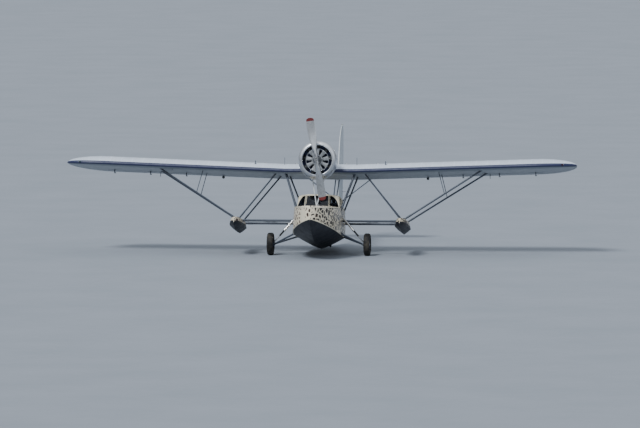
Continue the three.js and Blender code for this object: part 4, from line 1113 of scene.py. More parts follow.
def around(y):
    """A closed line round the body at y, with its outward directions."""
    centre = Vector((0, y, flowing(BODY_ROWS, y)[0]))
    line = [(Vector(p), (Vector(p) - centre).normalized()) for p in body_ring(y, BAND_RISE, 48)]
    return line + [line[0]]


rings = rounded_end(FIREWALL, 1)[::-1] + [body_ring(y) for y in spread(FIREWALL, SPLIT - 0.001, 34)]
# the nacelle's nose inside the cowl takes the dark navy: painted shade
points, faces, paints = loft(rings, lambda r, _: 1 if r < 3 else 0)
nacelle = (points, faces, [*paints[:-2], 1, 0])
add_piece("nacelle_skin", nacelle, white_paint, dark_paint_and_painted_shade, stands_for="nacelle")
rings = [body_ring(y) for y in spread(SPLIT + 0.001, BOOM_END, 44)] + rounded_end(BOOM_END, -1)
add_piece("tail_boom_skin", loft(rings), white_paint, stands_for="tail_boom")
SECTION = ((-0.022, -0.004), (-0.02, BAND_RISE), (0.02, BAND_RISE), (0.022, -0.004))
bands = [loft([body_ring(y + d, grow) for d, grow in SECTION]) for y in BANDS]
add_piece("boom_bands", joined(*bands), white_paint)
lines = [around(y + d) for y in BANDS for d in (-0.012, 0.012)]
rivet_rows("boom_rivets", lines, white_paint, 0.045, 0.008, 0.003)
louvres = []
for y in [-0.27 + 0.05 * k for k in range(5)]:
    middle, half_width, half_height = flowing(BODY_ROWS, y)
    for z in (0.10, 0.36):
        x = half_width * sqrt(1 - ((z - middle) / half_height) ** 2)
        louvres.append(loft([[(x - 0.004, y - 0.014, z + s * 0.06), (x + 0.010, y + 0.012, z + s * 0.052),
                              (x + 0.003, y + 0.016, z + s * 0.052)] for s in (-1, 1)]))
add_piece("nacelle_louvres", both(*louvres), white_paint)

# %% [markdown]
# ## Engine
# A nine-cylinder radial in a ring cowl. The cowl is bright outside, with painted shade towards its bottom,
# and dark within, where the dark navy is painted shade, with a rolled front lip, so a turned profile makes
# it. The polished disc before the cylinders has nine slots that let the air in. The CAD has cut them already,
# so the disc is an eased copy with turned rims and a ring of screws.

# %% Ring cowl and disc
COWL = [
    (0.456, -0.812), (0.464, -0.826), (0.478, -0.8335), (0.497, -0.833), (0.516, -0.826), (0.540, -0.809),
    (0.560, -0.785), (0.576, -0.754), (0.587, -0.716), (0.5925, -0.672), (0.5935, -0.62), (0.592, -0.51),
    (0.587, -0.402), (0.582, -0.399), (0.5765, -0.402), (0.5765, -0.55), (0.574, -0.69), (0.562, -0.728),
    (0.541, -0.757), (0.515, -0.783), (0.488, -0.801), (0.468, -0.806)]
FIRST_INNER = 13


def on_thrust(profile, sides, paint=None):
    return turned(profile, sides, at=THRUST_LINE, paint=paint)


# the cowl's inner faces take the dark navy: painted shade
cowl = on_thrust(COWL, 108, lambda k: 1 if k >= FIRST_INNER else 0)
add_piece("ring_cowl_skin", cowl, ring_paint, dark_paint_and_painted_shade, stands_for="ring_cowl")
# a dark disc behind the cylinders: painted shade
baffle = on_thrust([(0.20, -0.508), (0.572, -0.508), (0.572, -0.502), (0.20, -0.502)], 72)
add_piece("cylinder_baffle", baffle, dark_paint_and_painted_shade)
strap = on_thrust([(0.5925, -0.655), (0.5948, -0.652), (0.5948, -0.632), (0.5925, -0.629)], 96)
add_piece("ring_cowl_bands", joined(hoop(0.587, -0.404, 0.006, 96, at=THRUST_LINE), strap), ring_paint)
screw = [(0, 0.5982), (0.004, 0.598), (0.0065, 0.5955), (0.0065, 0.590), (0, 0.590)]
add_ring("ring_cowl_screws", turned(screw, 8, "Z", (0, -0.642, 0)), 27, bright_steel, pi / 27)
add_piece("engine_disc", copy_of("engine_baffle", 0.0015), polished, stands_for="engine_baffle")
rim = [(0.352, -0.7225), (0.3615, -0.7225), (0.3615, -0.726), (0.358, -0.729), (0.354, -0.7275)]
inner_rim = [(0.130, -0.7225), (0.146, -0.7225), (0.144, -0.7265), (0.134, -0.7265)]
add_piece("engine_disc_rims", joined(on_thrust(rim, 96), on_thrust(inner_rim, 64)), polished)
screw = [(0, -0.7275), (0.005, -0.7268), (0.0065, -0.7240), (0.0065, -0.720), (0, -0.720)]
add_ring("engine_disc_screws", turned(screw, 8, "Y", (0, 0, 0.335)), 9, bright_steel)

# %% [markdown]
# The crankcase is a casting round the shaft. One turned profile draws it, from the shaft's tip to the rear
# flange, and studs with nuts round the nose case break its smooth outline.

# %% Crankcase and nose
CRANKCASE = [
    (0, -1.14), (0.027, -1.14), (0.03, -1.137), (0.03, -0.99), (0.05, -0.989), (0.064, -0.986),
    (0.070, -0.975), (0.080, -0.952), (0.092, -0.925), (0.105, -0.885), (0.116, -0.84), (0.124, -0.785),
    (0.128, -0.722), (0.128, -0.7156), (0.182, -0.7155), (0.186, -0.711), (0.186, -0.484), (0.19, -0.476),
    (0.236, -0.470), (0.24, -0.466), (0.24, -0.4004), (0, -0.4004)]
NOSE_FLANGE = (0, -0.838, 0.113)
add_piece("engine_crankcase", on_thrust(CRANKCASE, 48), grey_paint, stands_for="engine")
bolt = turned([(0, -0.026), (0.009, -0.026), (0.010, -0.024), (0.010, 0), (0, 0)], 6, "Y", NOSE_FLANGE)
stud = turned([(0, -0.045), (0.004, -0.045), (0.004, 0), (0, 0)], 6, "Y", NOSE_FLANGE)
add_ring("engine_nose_bolts", joined(bolt, stud), 12, bright_steel, 0.1)

# %% [markdown]
# A cylinder is a barrel with thin cooling fins, under a head with coarser ones. The fins are real, because
# each catches the light in the open front of the cowl, where a bump would look painted on. Cylinder, push
# rods and plugs are drawn once, pointing up, and the ring tree turns nine copies round the thrust line.

# %% One cylinder, nine times
in_plane = Matrix.Translation((0, -0.59, 0))
barrel = [(0.0, 0.15), (0.076, 0.15), (0.076, 0.162), (0.058, 0.166)]
for z in [0.172 + 0.0182 * k for k in range(13)]:
    barrel += [(0.058, z), (0.0755, z + 0.0015), (0.0755, z + 0.0045), (0.058, z + 0.006)]
for z in [0.414 + 0.0185 * k for k in range(6)]:
    barrel += [(0.072, z), (0.0905, z + 0.002), (0.0905, z + 0.006), (0.072, z + 0.008)]
barrel += [(0.066, 0.532), (0.05, 0.543), (0.0, 0.547)]
rocker_box = block((0.029, -0.075, 0.50), (0.071, 0.055, 0.55))
cylinder = joined(turned(barrel, 20, "Z"), both(rocker_box), tube([(0, 0, 0.54), (0, 0, 0.5755)], 0.012, 8))
add_ring("engine_cylinders", moved(cylinder, in_plane), 9, grey_paint)
rod = tube([(0.030, -0.072, 0.155), (0.034, -0.082, 0.20), (0.046, -0.078, 0.505)], 0.0075, 8)
add_ring("engine_push_rods", moved(both(rod), in_plane), 9, iron_paint)
plug = [(0, -0.125), (0.006, -0.125), (0.007, -0.105), (0.0105, -0.104), (0.0105, -0.092), (0.0, -0.088)]
wire = tube([(0, -0.124, 0.465), (0.01, -0.14, 0.44), (0.02, -0.135, 0.36), (0.03, -0.115, 0.24)], 0.0045, 6)
plug = joined(turned(plug, 8, "Y", (0, 0, 0.465)), wire)
add_ring("engine_plugs", moved(plug, in_plane), 9, steel, slot="alloy")
add_piece("engine_wire_ring", hoop(0.236, -0.70, 0.009, 64, at=THRUST_LINE), iron_paint)

# %% [markdown]
# The exhaust ports lead into a ring behind the cylinders, and one pipe takes the gas out below. The ring
# is a bent bar and its branches come from the ring tree, joined into one piece of burnt steel. A round
# mount on six pairs of legs carries the engine from the firewall.

# %% Exhaust ring, its branches and its tail pipe
collector = hoop(0.495, -0.468, 0.032, 72, 12, at=THRUST_LINE)
branch = tube([(0.03, 0.04, 0.475), (0.04, 0.075, 0.485), (0.05, 0.112, 0.492)], 0.022)
branches = ring_of(moved(branch, in_plane), 9, burnt_steel)
bends = [(-0.14, -0.468, -0.215), (-0.14, -0.40, -0.225), (-0.145, -0.20, -0.205), (-0.15, -0.05, -0.20)]
tail_pipe = tube(bends, [0.034, 0.038, 0.038, 0.034], 16)
add_piece("engine_exhaust", combined(mesh_of(collector), branches, mesh_of(tail_pipe)), burnt_steel)
mount_ring = hoop(0.335, -0.43, 0.012, 48, at=THRUST_LINE)
legs = joined(both(tube([(0.0, -0.43, 0.335), (0.09, -0.395, 0.36)], 0.012, 8)),
              tube([(0.0, -0.435, 0.335), (0.0, -0.47, 0.232)], 0.011, 8))
mount = combined(mesh_of(mount_ring), ring_of(legs, 6, steel, pi / 6))
add_piece("engine_mount", mount, steel, slot="iron")
print("engine", totals)

# %% [markdown]
# ## Propeller
# Two twisted blades of forged aluminium in a split steel hub. The table gives chord, thickness and pitch by
# radius. Each section is flat behind and curved in front, and the blade rounds off at its tip.

# %% Propeller
BLADE_ROWS = [
    (0.048, 0.088, 0.088, 42), (0.19, 0.088, 0.084, 42), (0.33, 0.156, 0.056, 37), (0.52, 0.222, 0.036, 30),
    (0.76, 0.262, 0.025, 24), (1.0, 0.270, 0.017, 19), (1.18, 0.252, 0.011, 16), (1.255, 0.212, 0.008, 15),
    (1.289, 0.07, 0.005, 15)]
blade_pose = Matrix.Translation(THRUST_POINT) @ Matrix.Rotation(-radians(10), 4, "Y")


def blade_ring(radius, sides=18):
    chord, thickness, pitch = flowing(BLADE_ROWS, radius)
    p = radians(pitch)
    flatness = min(1.0, max(0.0, (radius - 0.19) / 0.25))
    ring = []
    for a in [2 * pi * k / sides for k in range(sides)]:
        c = chord / 2 * cos(a)
        h = thickness / 2 * sin(a) * (1.0 if sin(a) < 0 else 1 - 0.45 * flatness)
        ring.append((-c * cos(p) + h * sin(p), -c * sin(p) - h * cos(p), radius))
    return ring


def opposed(form):
    return moved(joined(form, moved(form, Matrix.Rotation(pi, 4, "Y"))), blade_pose)


radii = spread(0.05, 1.18, 26) + [1.18 + 0.109 * sin(pi / 2 * k / 12) for k in range(1, 13)]
blades = opposed(loft([blade_ring(r) for r in radii]))
add_piece("propeller_blades", blades, blade_metal, body="propeller", stands_for="propeller")
barrel = [(0.0315, -0.056), (0.066, -0.058), (0.071, -0.053), (0.072, -0.04), (0.072, 0.04), (0.071, 0.053),
          (0.066, 0.058), (0.0315, 0.056)]
sleeve = [(0, 0.05), (0.060, 0.05), (0.064, 0.056), (0.064, 0.150), (0.058, 0.158), (0.052, 0.160), (0, 0.16)]
clamp = [(0.062, 0.105), (0.070, 0.106), (0.070, 0.128), (0.062, 0.129)]
ear = tube([(0.072, -0.02, 0.117), (0.072, 0.02, 0.117)], 0.008, 8)
half_hub = joined(turned(sleeve, 28, "Z"), turned(clamp, 28, "Z"), both(ear))
hub = joined(moved(turned(barrel, 40), blade_pose), opposed(half_hub))
add_piece("propeller_hub", hub, hub_steel, body="propeller")
nut = [(0.031, -0.062), (0.046, -0.062), (0.05, -0.066), (0.05, -0.076), (0.046, -0.08), (0.031, -0.078)]
add_piece("propeller_nut", moved(turned(nut, 6), blade_pose), bright_steel, body="propeller", ease=0.0012)
bolt = [(0, -0.0665), (0.007, -0.0655), (0.0075, -0.063), (0.0075, -0.05), (0, -0.05)]
bolt = turned(bolt, 6, "Y", (0, 0, 0.060))
add_ring("propeller_bolts", bolt, 8, bright_steel, at=THRUST_POINT, body="propeller")
print("propeller", totals)

# %% [markdown]
# ## The boat hull
# A stepped hull is plywood and metal over frames, so it curves one way at a time: a hollow V below the
# chine, slightly full sides, and a crowned deck. The tables are the CAD's stations. The step under the
# cabin is one jump in the table, so the skin stays a single closed shell that can be cut for the cabin.

# %% Hull stations and section
# distance aft, keel height, chine half width and height, sheer half width and height, crown height
FOREBODY = [
    (-2.579, -1.765, 0.012, -1.725, 0.018, -1.375, -1.345),
    (-2.50, -1.89, 0.13, -1.755, 0.165, -1.366, -1.312),
    (-2.25, -2.04, 0.325, -1.818, 0.34, -1.338, -1.282),
    (-1.85, -2.165, 0.505, -1.885, 0.50, -1.305, -1.246),
    (-1.35, -2.258, 0.636, -1.945, 0.61, -1.262, -1.202),
    (-0.65, -2.325, 0.715, -1.99, 0.675, -1.205, -1.145),
    (0.25, -2.345, 0.73, -2.0, 0.69, -1.165, -1.125),
    (0.90, -2.345, 0.726, -2.0, 0.688, -1.15, -1.11)]
AFTERBODY = [
    (0.901, -2.262, 0.718, -1.975, 0.688, -1.15, -1.11),
    (1.9, -2.085, 0.64, -1.872, 0.615, -1.14, -1.092),
    (2.8, -1.905, 0.47, -1.745, 0.45, -1.112, -1.068),
    (3.5, -1.77, 0.30, -1.615, 0.282, -1.085, -1.045),
    (4.3, -1.42, 0.028, -1.33, 0.028, -1.04, -1.015)]
FLOAT_ROWS = [
    (-0.70, -1.68, 0.01, -1.652, 0.012, -1.58, -1.556),
    (-0.56, -1.775, 0.112, -1.672, 0.084, -1.545, -1.50),
    (-0.23, -1.848, 0.184, -1.70, 0.132, -1.525, -1.462),
    (0.30, -1.88, 0.208, -1.716, 0.152, -1.52, -1.45),
    (0.95, -1.868, 0.202, -1.712, 0.150, -1.52, -1.45),
    (1.45, -1.775, 0.152, -1.67, 0.118, -1.524, -1.464),
    (1.78, -1.612, 0.016, -1.588, 0.016, -1.548, -1.53)]
FLOAT_OUT = 2.56
BOTTOM_STEPS, SIDE_STEPS, DECK_STEPS = 6, 6, 8


def side_bulge(share):
    return 1 + 0.06 * share * (1 - share)


def hull_ring(y, rows):
    """Points round the hull: keel, chine, side, sheer, deck, and back down the other side."""
    keel, chine_x, chine_z, sheer_x, sheer_z, crown = flowing(rows, y)
    half = [(chine_x * s, keel + (chine_z - keel) * s ** 1.26) for s in spread(0, 1, BOTTOM_STEPS + 1)[:-1]]
    half += [((chine_x + (sheer_x - chine_x) * s) * side_bulge(s), chine_z + (sheer_z - chine_z) * s)
             for s in spread(0, 1, SIDE_STEPS + 1)[:-1]]
    half += [(sheer_x * cos(a), sheer_z + (crown - sheer_z) * sin(a))
             for a in spread(0, pi / 2, DECK_STEPS + 1)]
    half[-1] = (0.0, crown)
    return [(x, y, z) for x, z in half + [(-x, z) for x, z in half[-2:0:-1]]]


def dark_up_to(steps):
    """Paints the faces dark from the keel up to this many steps of the section."""
    count = 2 * (BOTTOM_STEPS + SIDE_STEPS + DECK_STEPS)
    return lambda _, i: 1 if i < steps or i >= count - steps else 0


bow_stations = [-2.579, -2.572, -2.56, -2.54, -2.52]
rings = [hull_ring(y, FOREBODY) for y in bow_stations + spread(-2.5, 0.9, 30)]
rings += [hull_ring(y, AFTERBODY) for y in spread(0.901, 4.3, 28)]
hull = loft(rings, dark_up_to(BOTTOM_STEPS))
print("hull stations", len(rings))

# %% [markdown]
# The cabin's room is cut out of the hull with its own outline, set in by the wall's thickness. The cutter
# is painted too: a boolean keeps each face's paint, so the walls come out in the dark lining, which is
# painted shade, and the floor boarded.

# %% Cabin outline and the cut
CABIN_BASE = [(0, -0.64), (0.38, -0.59), (0.65, -0.25), (0.672, 0.10), (0.672, 0.80), (0.64, 1.25),
              (0.56, 1.60), (0.40, 1.85), (0, 1.89)]
CABIN_HEAD = [(0, -0.43), (0.36, -0.385), (0.608, -0.11), (0.626, 0.16), (0.626, 0.80), (0.60, 1.22),
              (0.52, 1.56), (0.37, 1.79), (0, 1.83)]
SHEER, HEAD, FLOOR_HEIGHT, CABIN_WALL = -1.14, -0.798, -1.96, 0.034


def inset(half, distance):
    """The whole outline of a half, moved inwards."""
    outline = [*half, *[(-x, y) for x, y in half[-2:0:-1]]]
    result = []
    for i, (x, y) in enumerate(outline):
        (px, py), (nx, ny) = outline[i - 1], outline[(i + 1) % len(outline)]
        before, after = Vector((x - px, y - py)).normalized(), Vector((nx - x, ny - y)).normalized()
        reach = distance / (1 + before.dot(after))
        result.append((x - (before.y + after.y) * reach, y + (before.x + after.x) * reach))
    return result


outline = inset(CABIN_BASE, CABIN_WALL + 0.008)
points, faces, paints = loft([[(x, y, z) for x, y in outline] for z in (FLOOR_HEIGHT, -1.05)])
room = (points, faces, [2] * (len(paints) - 2) + [3, 2])
add_piece("hull_skin", carved(mesh_of(hull), mesh_of(room)), coat_paint, bottom_paint, lining_painted_shade, boards,
          stands_for="hull_bow hull_cabin hull_stern", smooth=25)

# %% [markdown]
# Mouldings cover the hull's edges: a half-round rail at the sheer, a spray rail along the chine and a
# keel band. They follow the same tables, so they always sit on the edge that they cover.

# %% Rails and rivets of hull and floats
KEEL, CHINE, SHEER_EDGE = 0, 1, 2


def edge_line(rows, which, stations, out=0.0):
    """Points along one edge of the hull."""
    line = []
    for y in stations:
        keel, chine_x, chine_z, sheer_x, sheer_z, _ = flowing(rows, y)
        line.append([(0, y, keel - out), (chine_x + out, y, chine_z), (sheer_x + out, y, sheer_z)][which])
    return line


def side_rivets(rows, stations, shares, shift=0.0):
    """Lines of (point, outward) along the hull's side, at shares of its height above the chine."""
    lines = []
    for share in shares:
        for side in (1, -1):
            line = []
            for y in stations:
                _, chine_x, chine_z, sheer_x, sheer_z, _ = flowing(rows, y)
                x = (chine_x + (sheer_x - chine_x) * share) * side_bulge(share)
                before, after = max(y - 0.01, rows[0][0]), min(y + 0.01, rows[-1][0])
                lean = flowing(rows, after)[1] - flowing(rows, before)[1]
                out = Vector((1, -lean / 0.02, 0)).normalized()
                line.append((Vector((shift + side * x, y, chine_z + (sheer_z - chine_z) * share)),
                             Vector((side * out.x, out.y, 0))))
            lines.append(line)
    return lines


fore, aft = spread(-2.558, 0.9, 34), spread(0.901, 4.29, 26)
sheer_line = edge_line(FOREBODY, SHEER_EDGE, fore) + edge_line(AFTERBODY, SHEER_EDGE, aft[1:])
add_piece("sheer_rail", both(tube(sheer_line, 0.013, 8)), plain_cream)
fore_chine = tube([(0, -2.565, -1.722)] + edge_line(FOREBODY, CHINE, fore), 0.016, 8, 0.8)
aft_chine = tube(edge_line(AFTERBODY, CHINE, aft), 0.012, 8, 0.8)
add_piece("spray_rails", both(fore_chine, aft_chine), plain_cream)
keel_lines = edge_line(FOREBODY, KEEL, fore, -0.004), edge_line(AFTERBODY, KEEL, aft, -0.004)
add_piece("keel_band", joined(*(tube(line, 0.016, 8) for line in keel_lines)), bottom_paint)
lines = side_rivets(FOREBODY, fore, (0.05, 0.94)) + side_rivets(AFTERBODY, aft, (0.06, 0.94))
rivet_rows("hull_rivets", lines, coat_paint, 0.055, 0.011, 0.005)

# %% [markdown]
# The floats keep the wing tips off the water. They are small hulls without a step, so the hull's own
# section draws them from a shorter table, and the black bottom paint just reaches higher.

# %% Floats
at_float = Matrix.Translation((FLOAT_OUT, 0, 0))
stations = [-0.70, -0.694, -0.68, -0.66, -0.62] + spread(-0.58, 1.7, 26) + [1.74, 1.765, 1.78]
skin = loft([hull_ring(y, FLOAT_ROWS) for y in stations], dark_up_to(BOTTOM_STEPS + 3))
add_pair("float_{}_skin", moved(skin, at_float), coat_paint, bottom_paint, stands_for="float_{}", smooth=25)
rails = both(tube(edge_line(FLOAT_ROWS, SHEER_EDGE, stations), 0.008, 8, 0.7))
add_piece("float_rails", both(moved(rails, at_float)), plain_cream)
keel = tube(edge_line(FLOAT_ROWS, KEEL, stations, -0.003), 0.011, 8)
add_piece("float_keels", both(moved(keel, at_float)), bottom_paint)
lines = sum((side_rivets(FLOAT_ROWS, stations, (0.86,), shift) for shift in (FLOAT_OUT, -FLOAT_OUT)), [])
rivet_rows("float_rivets", lines, plain_cream, 0.05, 0.008, 0.004)
print("hull and floats", totals)

# %% [markdown]
# ## The cabin
# The CAD's cabin already has its walls, window openings and hatch seat, so its piece is a merged copy with
# rounded corners. The windscreen's openings are cut again, because the arched corner panes need more
# points than the CAD gives them.

# %% Cabin top and hatch
SILL, PANE_HEAD, FRONT_HALF, CORNER_EDGE = -1.165, -0.806, 0.352, 0.012
ROOF_CROWN = 0.6  # of the height above the panes
corner_post = Vector((*CABIN_BASE[1], 0))
face_way = Vector((*CABIN_BASE[2], 0)) - corner_post
FACE_LENGTH = face_way.length
face_way.normalize()
face_out = Vector((face_way.y, -face_way.x, 0))


def arched():
    """The corner pane's outline on its face: distance along from the corner post, and height."""
    first, last, rise = CORNER_EDGE, FACE_LENGTH - CORNER_EDGE, PANE_HEAD - SILL
    wide = last - first - 0.06
    arch = [(last - wide + wide * cos(a) ** 0.62, SILL + rise * sin(a) ** 0.62)
            for a in spread(0, pi / 2, 10)]
    return [(first, SILL), *arch, (first, PANE_HEAD)]


def wall_outline(z):
    """Half of the wall's outline at a height: the wall is ruled from its base to its head."""
    rise = (z - SHEER) / (HEAD - SHEER)
    corners = zip(CABIN_BASE, CABIN_HEAD)
    return [(x0 + (x1 - x0) * rise, y0 + (y1 - y0) * rise) for (x0, y0), (x1, y1) in corners]


def wall_band(low, high, inwards):
    return mesh_of(loft([[(x, y, z) for x, y in inset(wall_outline(z), inwards)] for z in (low, high)]))


corner_cut = loft([[corner_post + Vector((0, 0, z)) + face_way * s + face_out * out for s, z in arched()]
                   for out in (-0.205, 0.08)])
front_cut = block((-FRONT_HALF, -0.75, SILL), (FRONT_HALF, -0.30, PANE_HEAD))
foot = carved(wall_band(-1.25, -1.137, 0), wall_band(-1.28, -1.10, CABIN_WALL))
cabin = carved(copy_of("cabin_top"), foot, "UNION")
# the cut faces of the openings take the dark lining: painted shade in the reveals
for points, faces, _ in (corner_cut, flipped(corner_cut), front_cut):
    cabin = carved(cabin, mesh_of((points, faces, [1] * len(faces))))
for v in cabin.vertices:
    if v.co.z > PANE_HEAD:
        v.co.z = PANE_HEAD + (v.co.z - PANE_HEAD) * ROOF_CROWN
# faces that look into the cabin take the dark lining: painted shade
for face in cabin.polygons:
    inwards = Vector((0, min(max(face.center.y, 0.1), 1.3), -1.3)) - face.center
    if face.normal.dot(inwards.normalized()) > 0.15:
        face.material_index = 1
cabin = eased(cabin, 0.005, 2, 24)
add_piece("cabin_top_skin", cabin, cabin_paint, lining_painted_shade, stands_for="cabin_top", smooth=40)
lid = copy_of("cabin_hatch", 0.003)
add_piece("cabin_hatch_lid", lid, plain_cream, body="cabin_hatch", stands_for="cabin_hatch")


# %% [markdown]
# A bead holds each pane. The wall is ruled between two outlines, so a point on it is easy to find, and the
# beads lie on the wall though it leans inwards. The windscreen is one thin bent shell behind its openings.
# The side panes keep their CAD meshes and only receive the glass.

# %% Window frames and glass
def wall_point(u, z, out=0.003):
    """A point on the port wall: u counts along the outline's corners, z is the height."""
    k = min(int(u), len(CABIN_BASE) - 2)
    start, end = (Vector((*corner, z)) for corner in wall_outline(z)[k:k + 2])
    way = (end - start).normalized()
    return start.lerp(end, u - k) + Vector((way.y, -way.x, 0.2)) * out


def wall_at(y, z):
    """The same for a distance aft, on the cabin's side."""
    return next((wall_point(u, z) for u in spread(1, 6, 401) if wall_point(u, z, 0).y >= y), wall_point(6, z))


def frame_round(path, radius=0.009):
    """A bead round a window, closed on itself."""
    return tube([*path, path[0], path[0].lerp(path[1], 0.2)], radius, 8)


frames = []
SIDE_SILL = -1.105
for y0, y1, head in ((-0.04, 0.33, -0.838), (0.41, 0.79, -0.838), (0.87, 1.15, -0.885)):
    corners = ((y0, SIDE_SILL), (y1, SIDE_SILL), (y1, head), (y0, head))
    frames.append(frame_round([wall_at(*corner) for corner in corners], 0.011))
frames.append(frame_round([wall_point(1 + along / FACE_LENGTH, z) for along, z in arched()]))
corners = ((0.0, SILL), (0.345, SILL), (FRONT_HALF, SILL + 0.02), (FRONT_HALF, PANE_HEAD - 0.02),
           (0.345, PANE_HEAD), (0.0, PANE_HEAD))
front = [wall_point(x / CABIN_BASE[1][0], z) for x, z in corners]
front += [Vector((-p.x, p.y, p.z)) for p in front[::-1]]
add_piece("window_frames", joined(both(*frames), frame_round(front)), cabin_paint)
low, high = SILL - 0.02, PANE_HEAD + 0.006
corners = ((low, -0.030), (high, -0.030), (high, -0.025), (low, -0.025))
port = [[wall_point(u, z, out) for z, out in corners] for u in (0, 0.5, 0.999, 1.5, 1.97)]
starboard = [[(-p.x, p.y, p.z) for p in ring] for ring in port[:0:-1]]
add_piece("windshield_panes", loft(starboard + port), window_glass, stands_for="windshield_glass")
for node in ("side_glass_left", "side_glass_right"):
    for kept in frame["nodes"][node].material_slots:  # the finish goes on the object and not in its mesh
        kept.link = "OBJECT"
        kept.material = window_glass
gutter = [wall_at(y, HEAD + 0.004) for y in spread(-0.05, 1.3, 12)]
add_piece("rain_gutters", both(tube(gutter, 0.006, 6)), cabin_paint)

# %% [markdown]
# ## Struts
# Every strut is a streamlined tube: round in front, sharp behind. One function lays that section along a
# line, with its chord as close to the flight direction as the line allows, and slips a steel cuff over
# each end. The ends run into what they meet, as the welded fittings do.

# %% Struts
CUFF_FROM_END, CUFF_LENGTH = 0.10, 0.16


def foil(start, end, chord, thickness, stops=((0, 1), (0.5, 1), (1, 1)), count=12):
    """The streamlined section at shares of the way, each with its own size."""
    start, end = Vector(start), Vector(end)
    along = (end - start).normalized()
    aft = (Vector((0, 1, 0)) - along * along.y).normalized()
    across = along.cross(aft)
    shares = [(1 - cos(pi * k / count)) / 2 for k in range(count + 1)]
    side = [(s - 0.45, 1.17 * sqrt(s) * (1 - s) ** 0.75 + 0.02 * s) for s in shares]
    outline = [*side, *[(c, -t) for c, t in side[-2:0:-1]]]
    return loft([[start.lerp(end, at) + aft * (c * chord * size) + across * (t * thickness * size)
                  for c, t in outline] for at, size in stops])


def cuffs(start, end, *size):
    """Steel sleeves near the ends."""
    whole = (Vector(end) - Vector(start)).length
    return [foil(start, end, *size, [((a + d) / whole, grow) for d, grow in (
        (0, 0.9), (0.002, 1.12), (CUFF_LENGTH - 0.002, 1.12), (CUFF_LENGTH, 0.9))])
        for a in (CUFF_FROM_END, whole - CUFF_FROM_END - CUFF_LENGTH)]


def upper_end(x, y):
    return (x, y, 0.06 - y * tan(INCIDENCE) + max(0.0, x - CENTRE_HALF) * tan(DIHEDRAL))


def wing_struts(y):
    return [((2.505, y, -1.46), upper_end(1.29, y), 0.09, 0.046),
            ((2.625, y, -1.46), upper_end(5.19, y), 0.11, 0.052)]


SPARS = (0.30, 1.35)
OUTRIGGER = -1.53
STRUTS = {
    "cabane_front": [((0.672, -0.01, -1.25), upper_end(1.11, SPARS[0]), 0.12, 0.068)],
    "cabane_rear": [((0.58, 1.5, -1.26), upper_end(1.085, SPARS[1]), 0.10, 0.05)],
    "wing_struts_front": wing_struts(SPARS[0]), "wing_struts_rear": wing_struts(SPARS[1]),
    "outrigger_front": [((0.66, SPARS[0], OUTRIGGER), (2.46, SPARS[0], OUTRIGGER), 0.13, 0.066)],
    "outrigger_rear": [((0.61, SPARS[1], OUTRIGGER), (2.46, SPARS[1], OUTRIGGER), 0.13, 0.066)],
    "boom_strut": [((0.035, 4.06, -1.125), (0.06, 5.55, 0.30), 0.08, 0.036)],
    "tailplane_strut": [((0.03, 6.25, -0.42), (1.24, 6.25, 0.52), 0.06, 0.03)]}
for name, bars in STRUTS.items():
    form = joined(*(foil(*bar) for bar in bars))
    if "wing_struts" in name:
        y = bars[0][0][1]
        form = joined(form, block((2.465, y - 0.034, -1.545), (2.665, y + 0.034, -1.425)))
    add_pair(name + "_{}_tube", form, strut_paint, stands_for=name + "_{}")
    add_pair(name + "_{}_cuffs", joined(*(cuff for bar in bars for cuff in cuffs(*bar))), strut_paint)
vee = foil((0, -0.70, -1.172), (0.25, -0.17, 0.04), 0.08, 0.036)
add_piece("engine_vee_tubes", both(vee), white_paint, stands_for="engine_vee_strut")
print("struts", totals)

# %% [markdown]
# ## Main gear
# An arm of two tubes hinges on the hull above the chine and meets in a knuckle that carries the axle. A
# telescopic strut with a rubber boot stands on the knuckle. Tubes and turned lugs are what such a gear is
# welded from, so they are drawn as just that.

# %% Gear legs
AXLE = Vector((1.5, 0.15, -2.262))
KNUCKLE_X = 1.352
knuckle = Vector((KNUCKLE_X, AXLE.y, AXLE.z))
drum = [(0, 0), (0.040, 0), (0.044, 0.004), (0.044, 0.074), (0.040, 0.078), (0, 0.078)]
stub = [(0, 0.07), (0.025, 0.07), (0.025, 0.182), (0.020, 0.186), (0, 0.186)]
lug = [(0, -0.045), (0.04, -0.045), (0.046, -0.035), (0.046, 0.035), (0.04, 0.045), (0, 0.045)]
arm = [turned(drum, 24, "X", knuckle), turned(stub, 20, "X", knuckle)]
for hinge, lug_at in (((0.70, -0.27, -1.965), (0.735, -0.255, -1.972)),
                      ((0.64, 0.64, -1.965), (0.685, 0.615, -1.972))):
    arm += [tube([hinge, knuckle + Vector((0.02, 0, 0))], [0.03, 0.026], 20), turned(lug, 20, "Y", lug_at)]
foot, top = Vector((KNUCKLE_X + 0.034, AXLE.y, AXLE.z + 0.06)), Vector((0.695, AXLE.y, -1.396))
middle = foot.lerp(top, 0.43)
sleeve = [middle.lerp(top, share) for share in (0, 0.015, 0.02, 0.06, 0.07, 1)]
shackle = [(0, -0.03), (0.036, -0.03), (0.04, -0.026), (0.04, 0.026), (0.036, 0.03), (0, 0.03)]
shock = joined(tube([foot, middle.lerp(top, 0.1)], 0.019, 20),
               tube(sleeve, [0.028, 0.037, 0.037, 0.037, 0.034, 0.034], 24),
               turned(shackle, 20, "Y", (0.712, AXLE.y, -1.415)))
folds = range(11)
boot = tube([foot.lerp(middle, 0.55 + 0.045 * k) for k in folds],
            [0.024 + 0.007 * (k % 2) for k in folds], 20)
pads = joined(*(block((x - 0.012, y - 0.07, z - 0.06), (x + 0.012, y + 0.07, z + 0.075)) for x, y, z in
                ((0.700, -0.262, -1.955), (0.668, 0.62, -1.955), (0.700, AXLE.y, -1.40))))
add_pair("gear_arm_{}_tubes", joined(*arm), strut_paint, stands_for="gear_arm_{}")
add_pair("gear_{}_pads", pads, strut_paint, ease=0.006)
add_pair("shock_{}_tubes", shock, bright_steel, stands_for="shock_strut_{}")
add_pair("shock_{}_boot", boot, rubber)

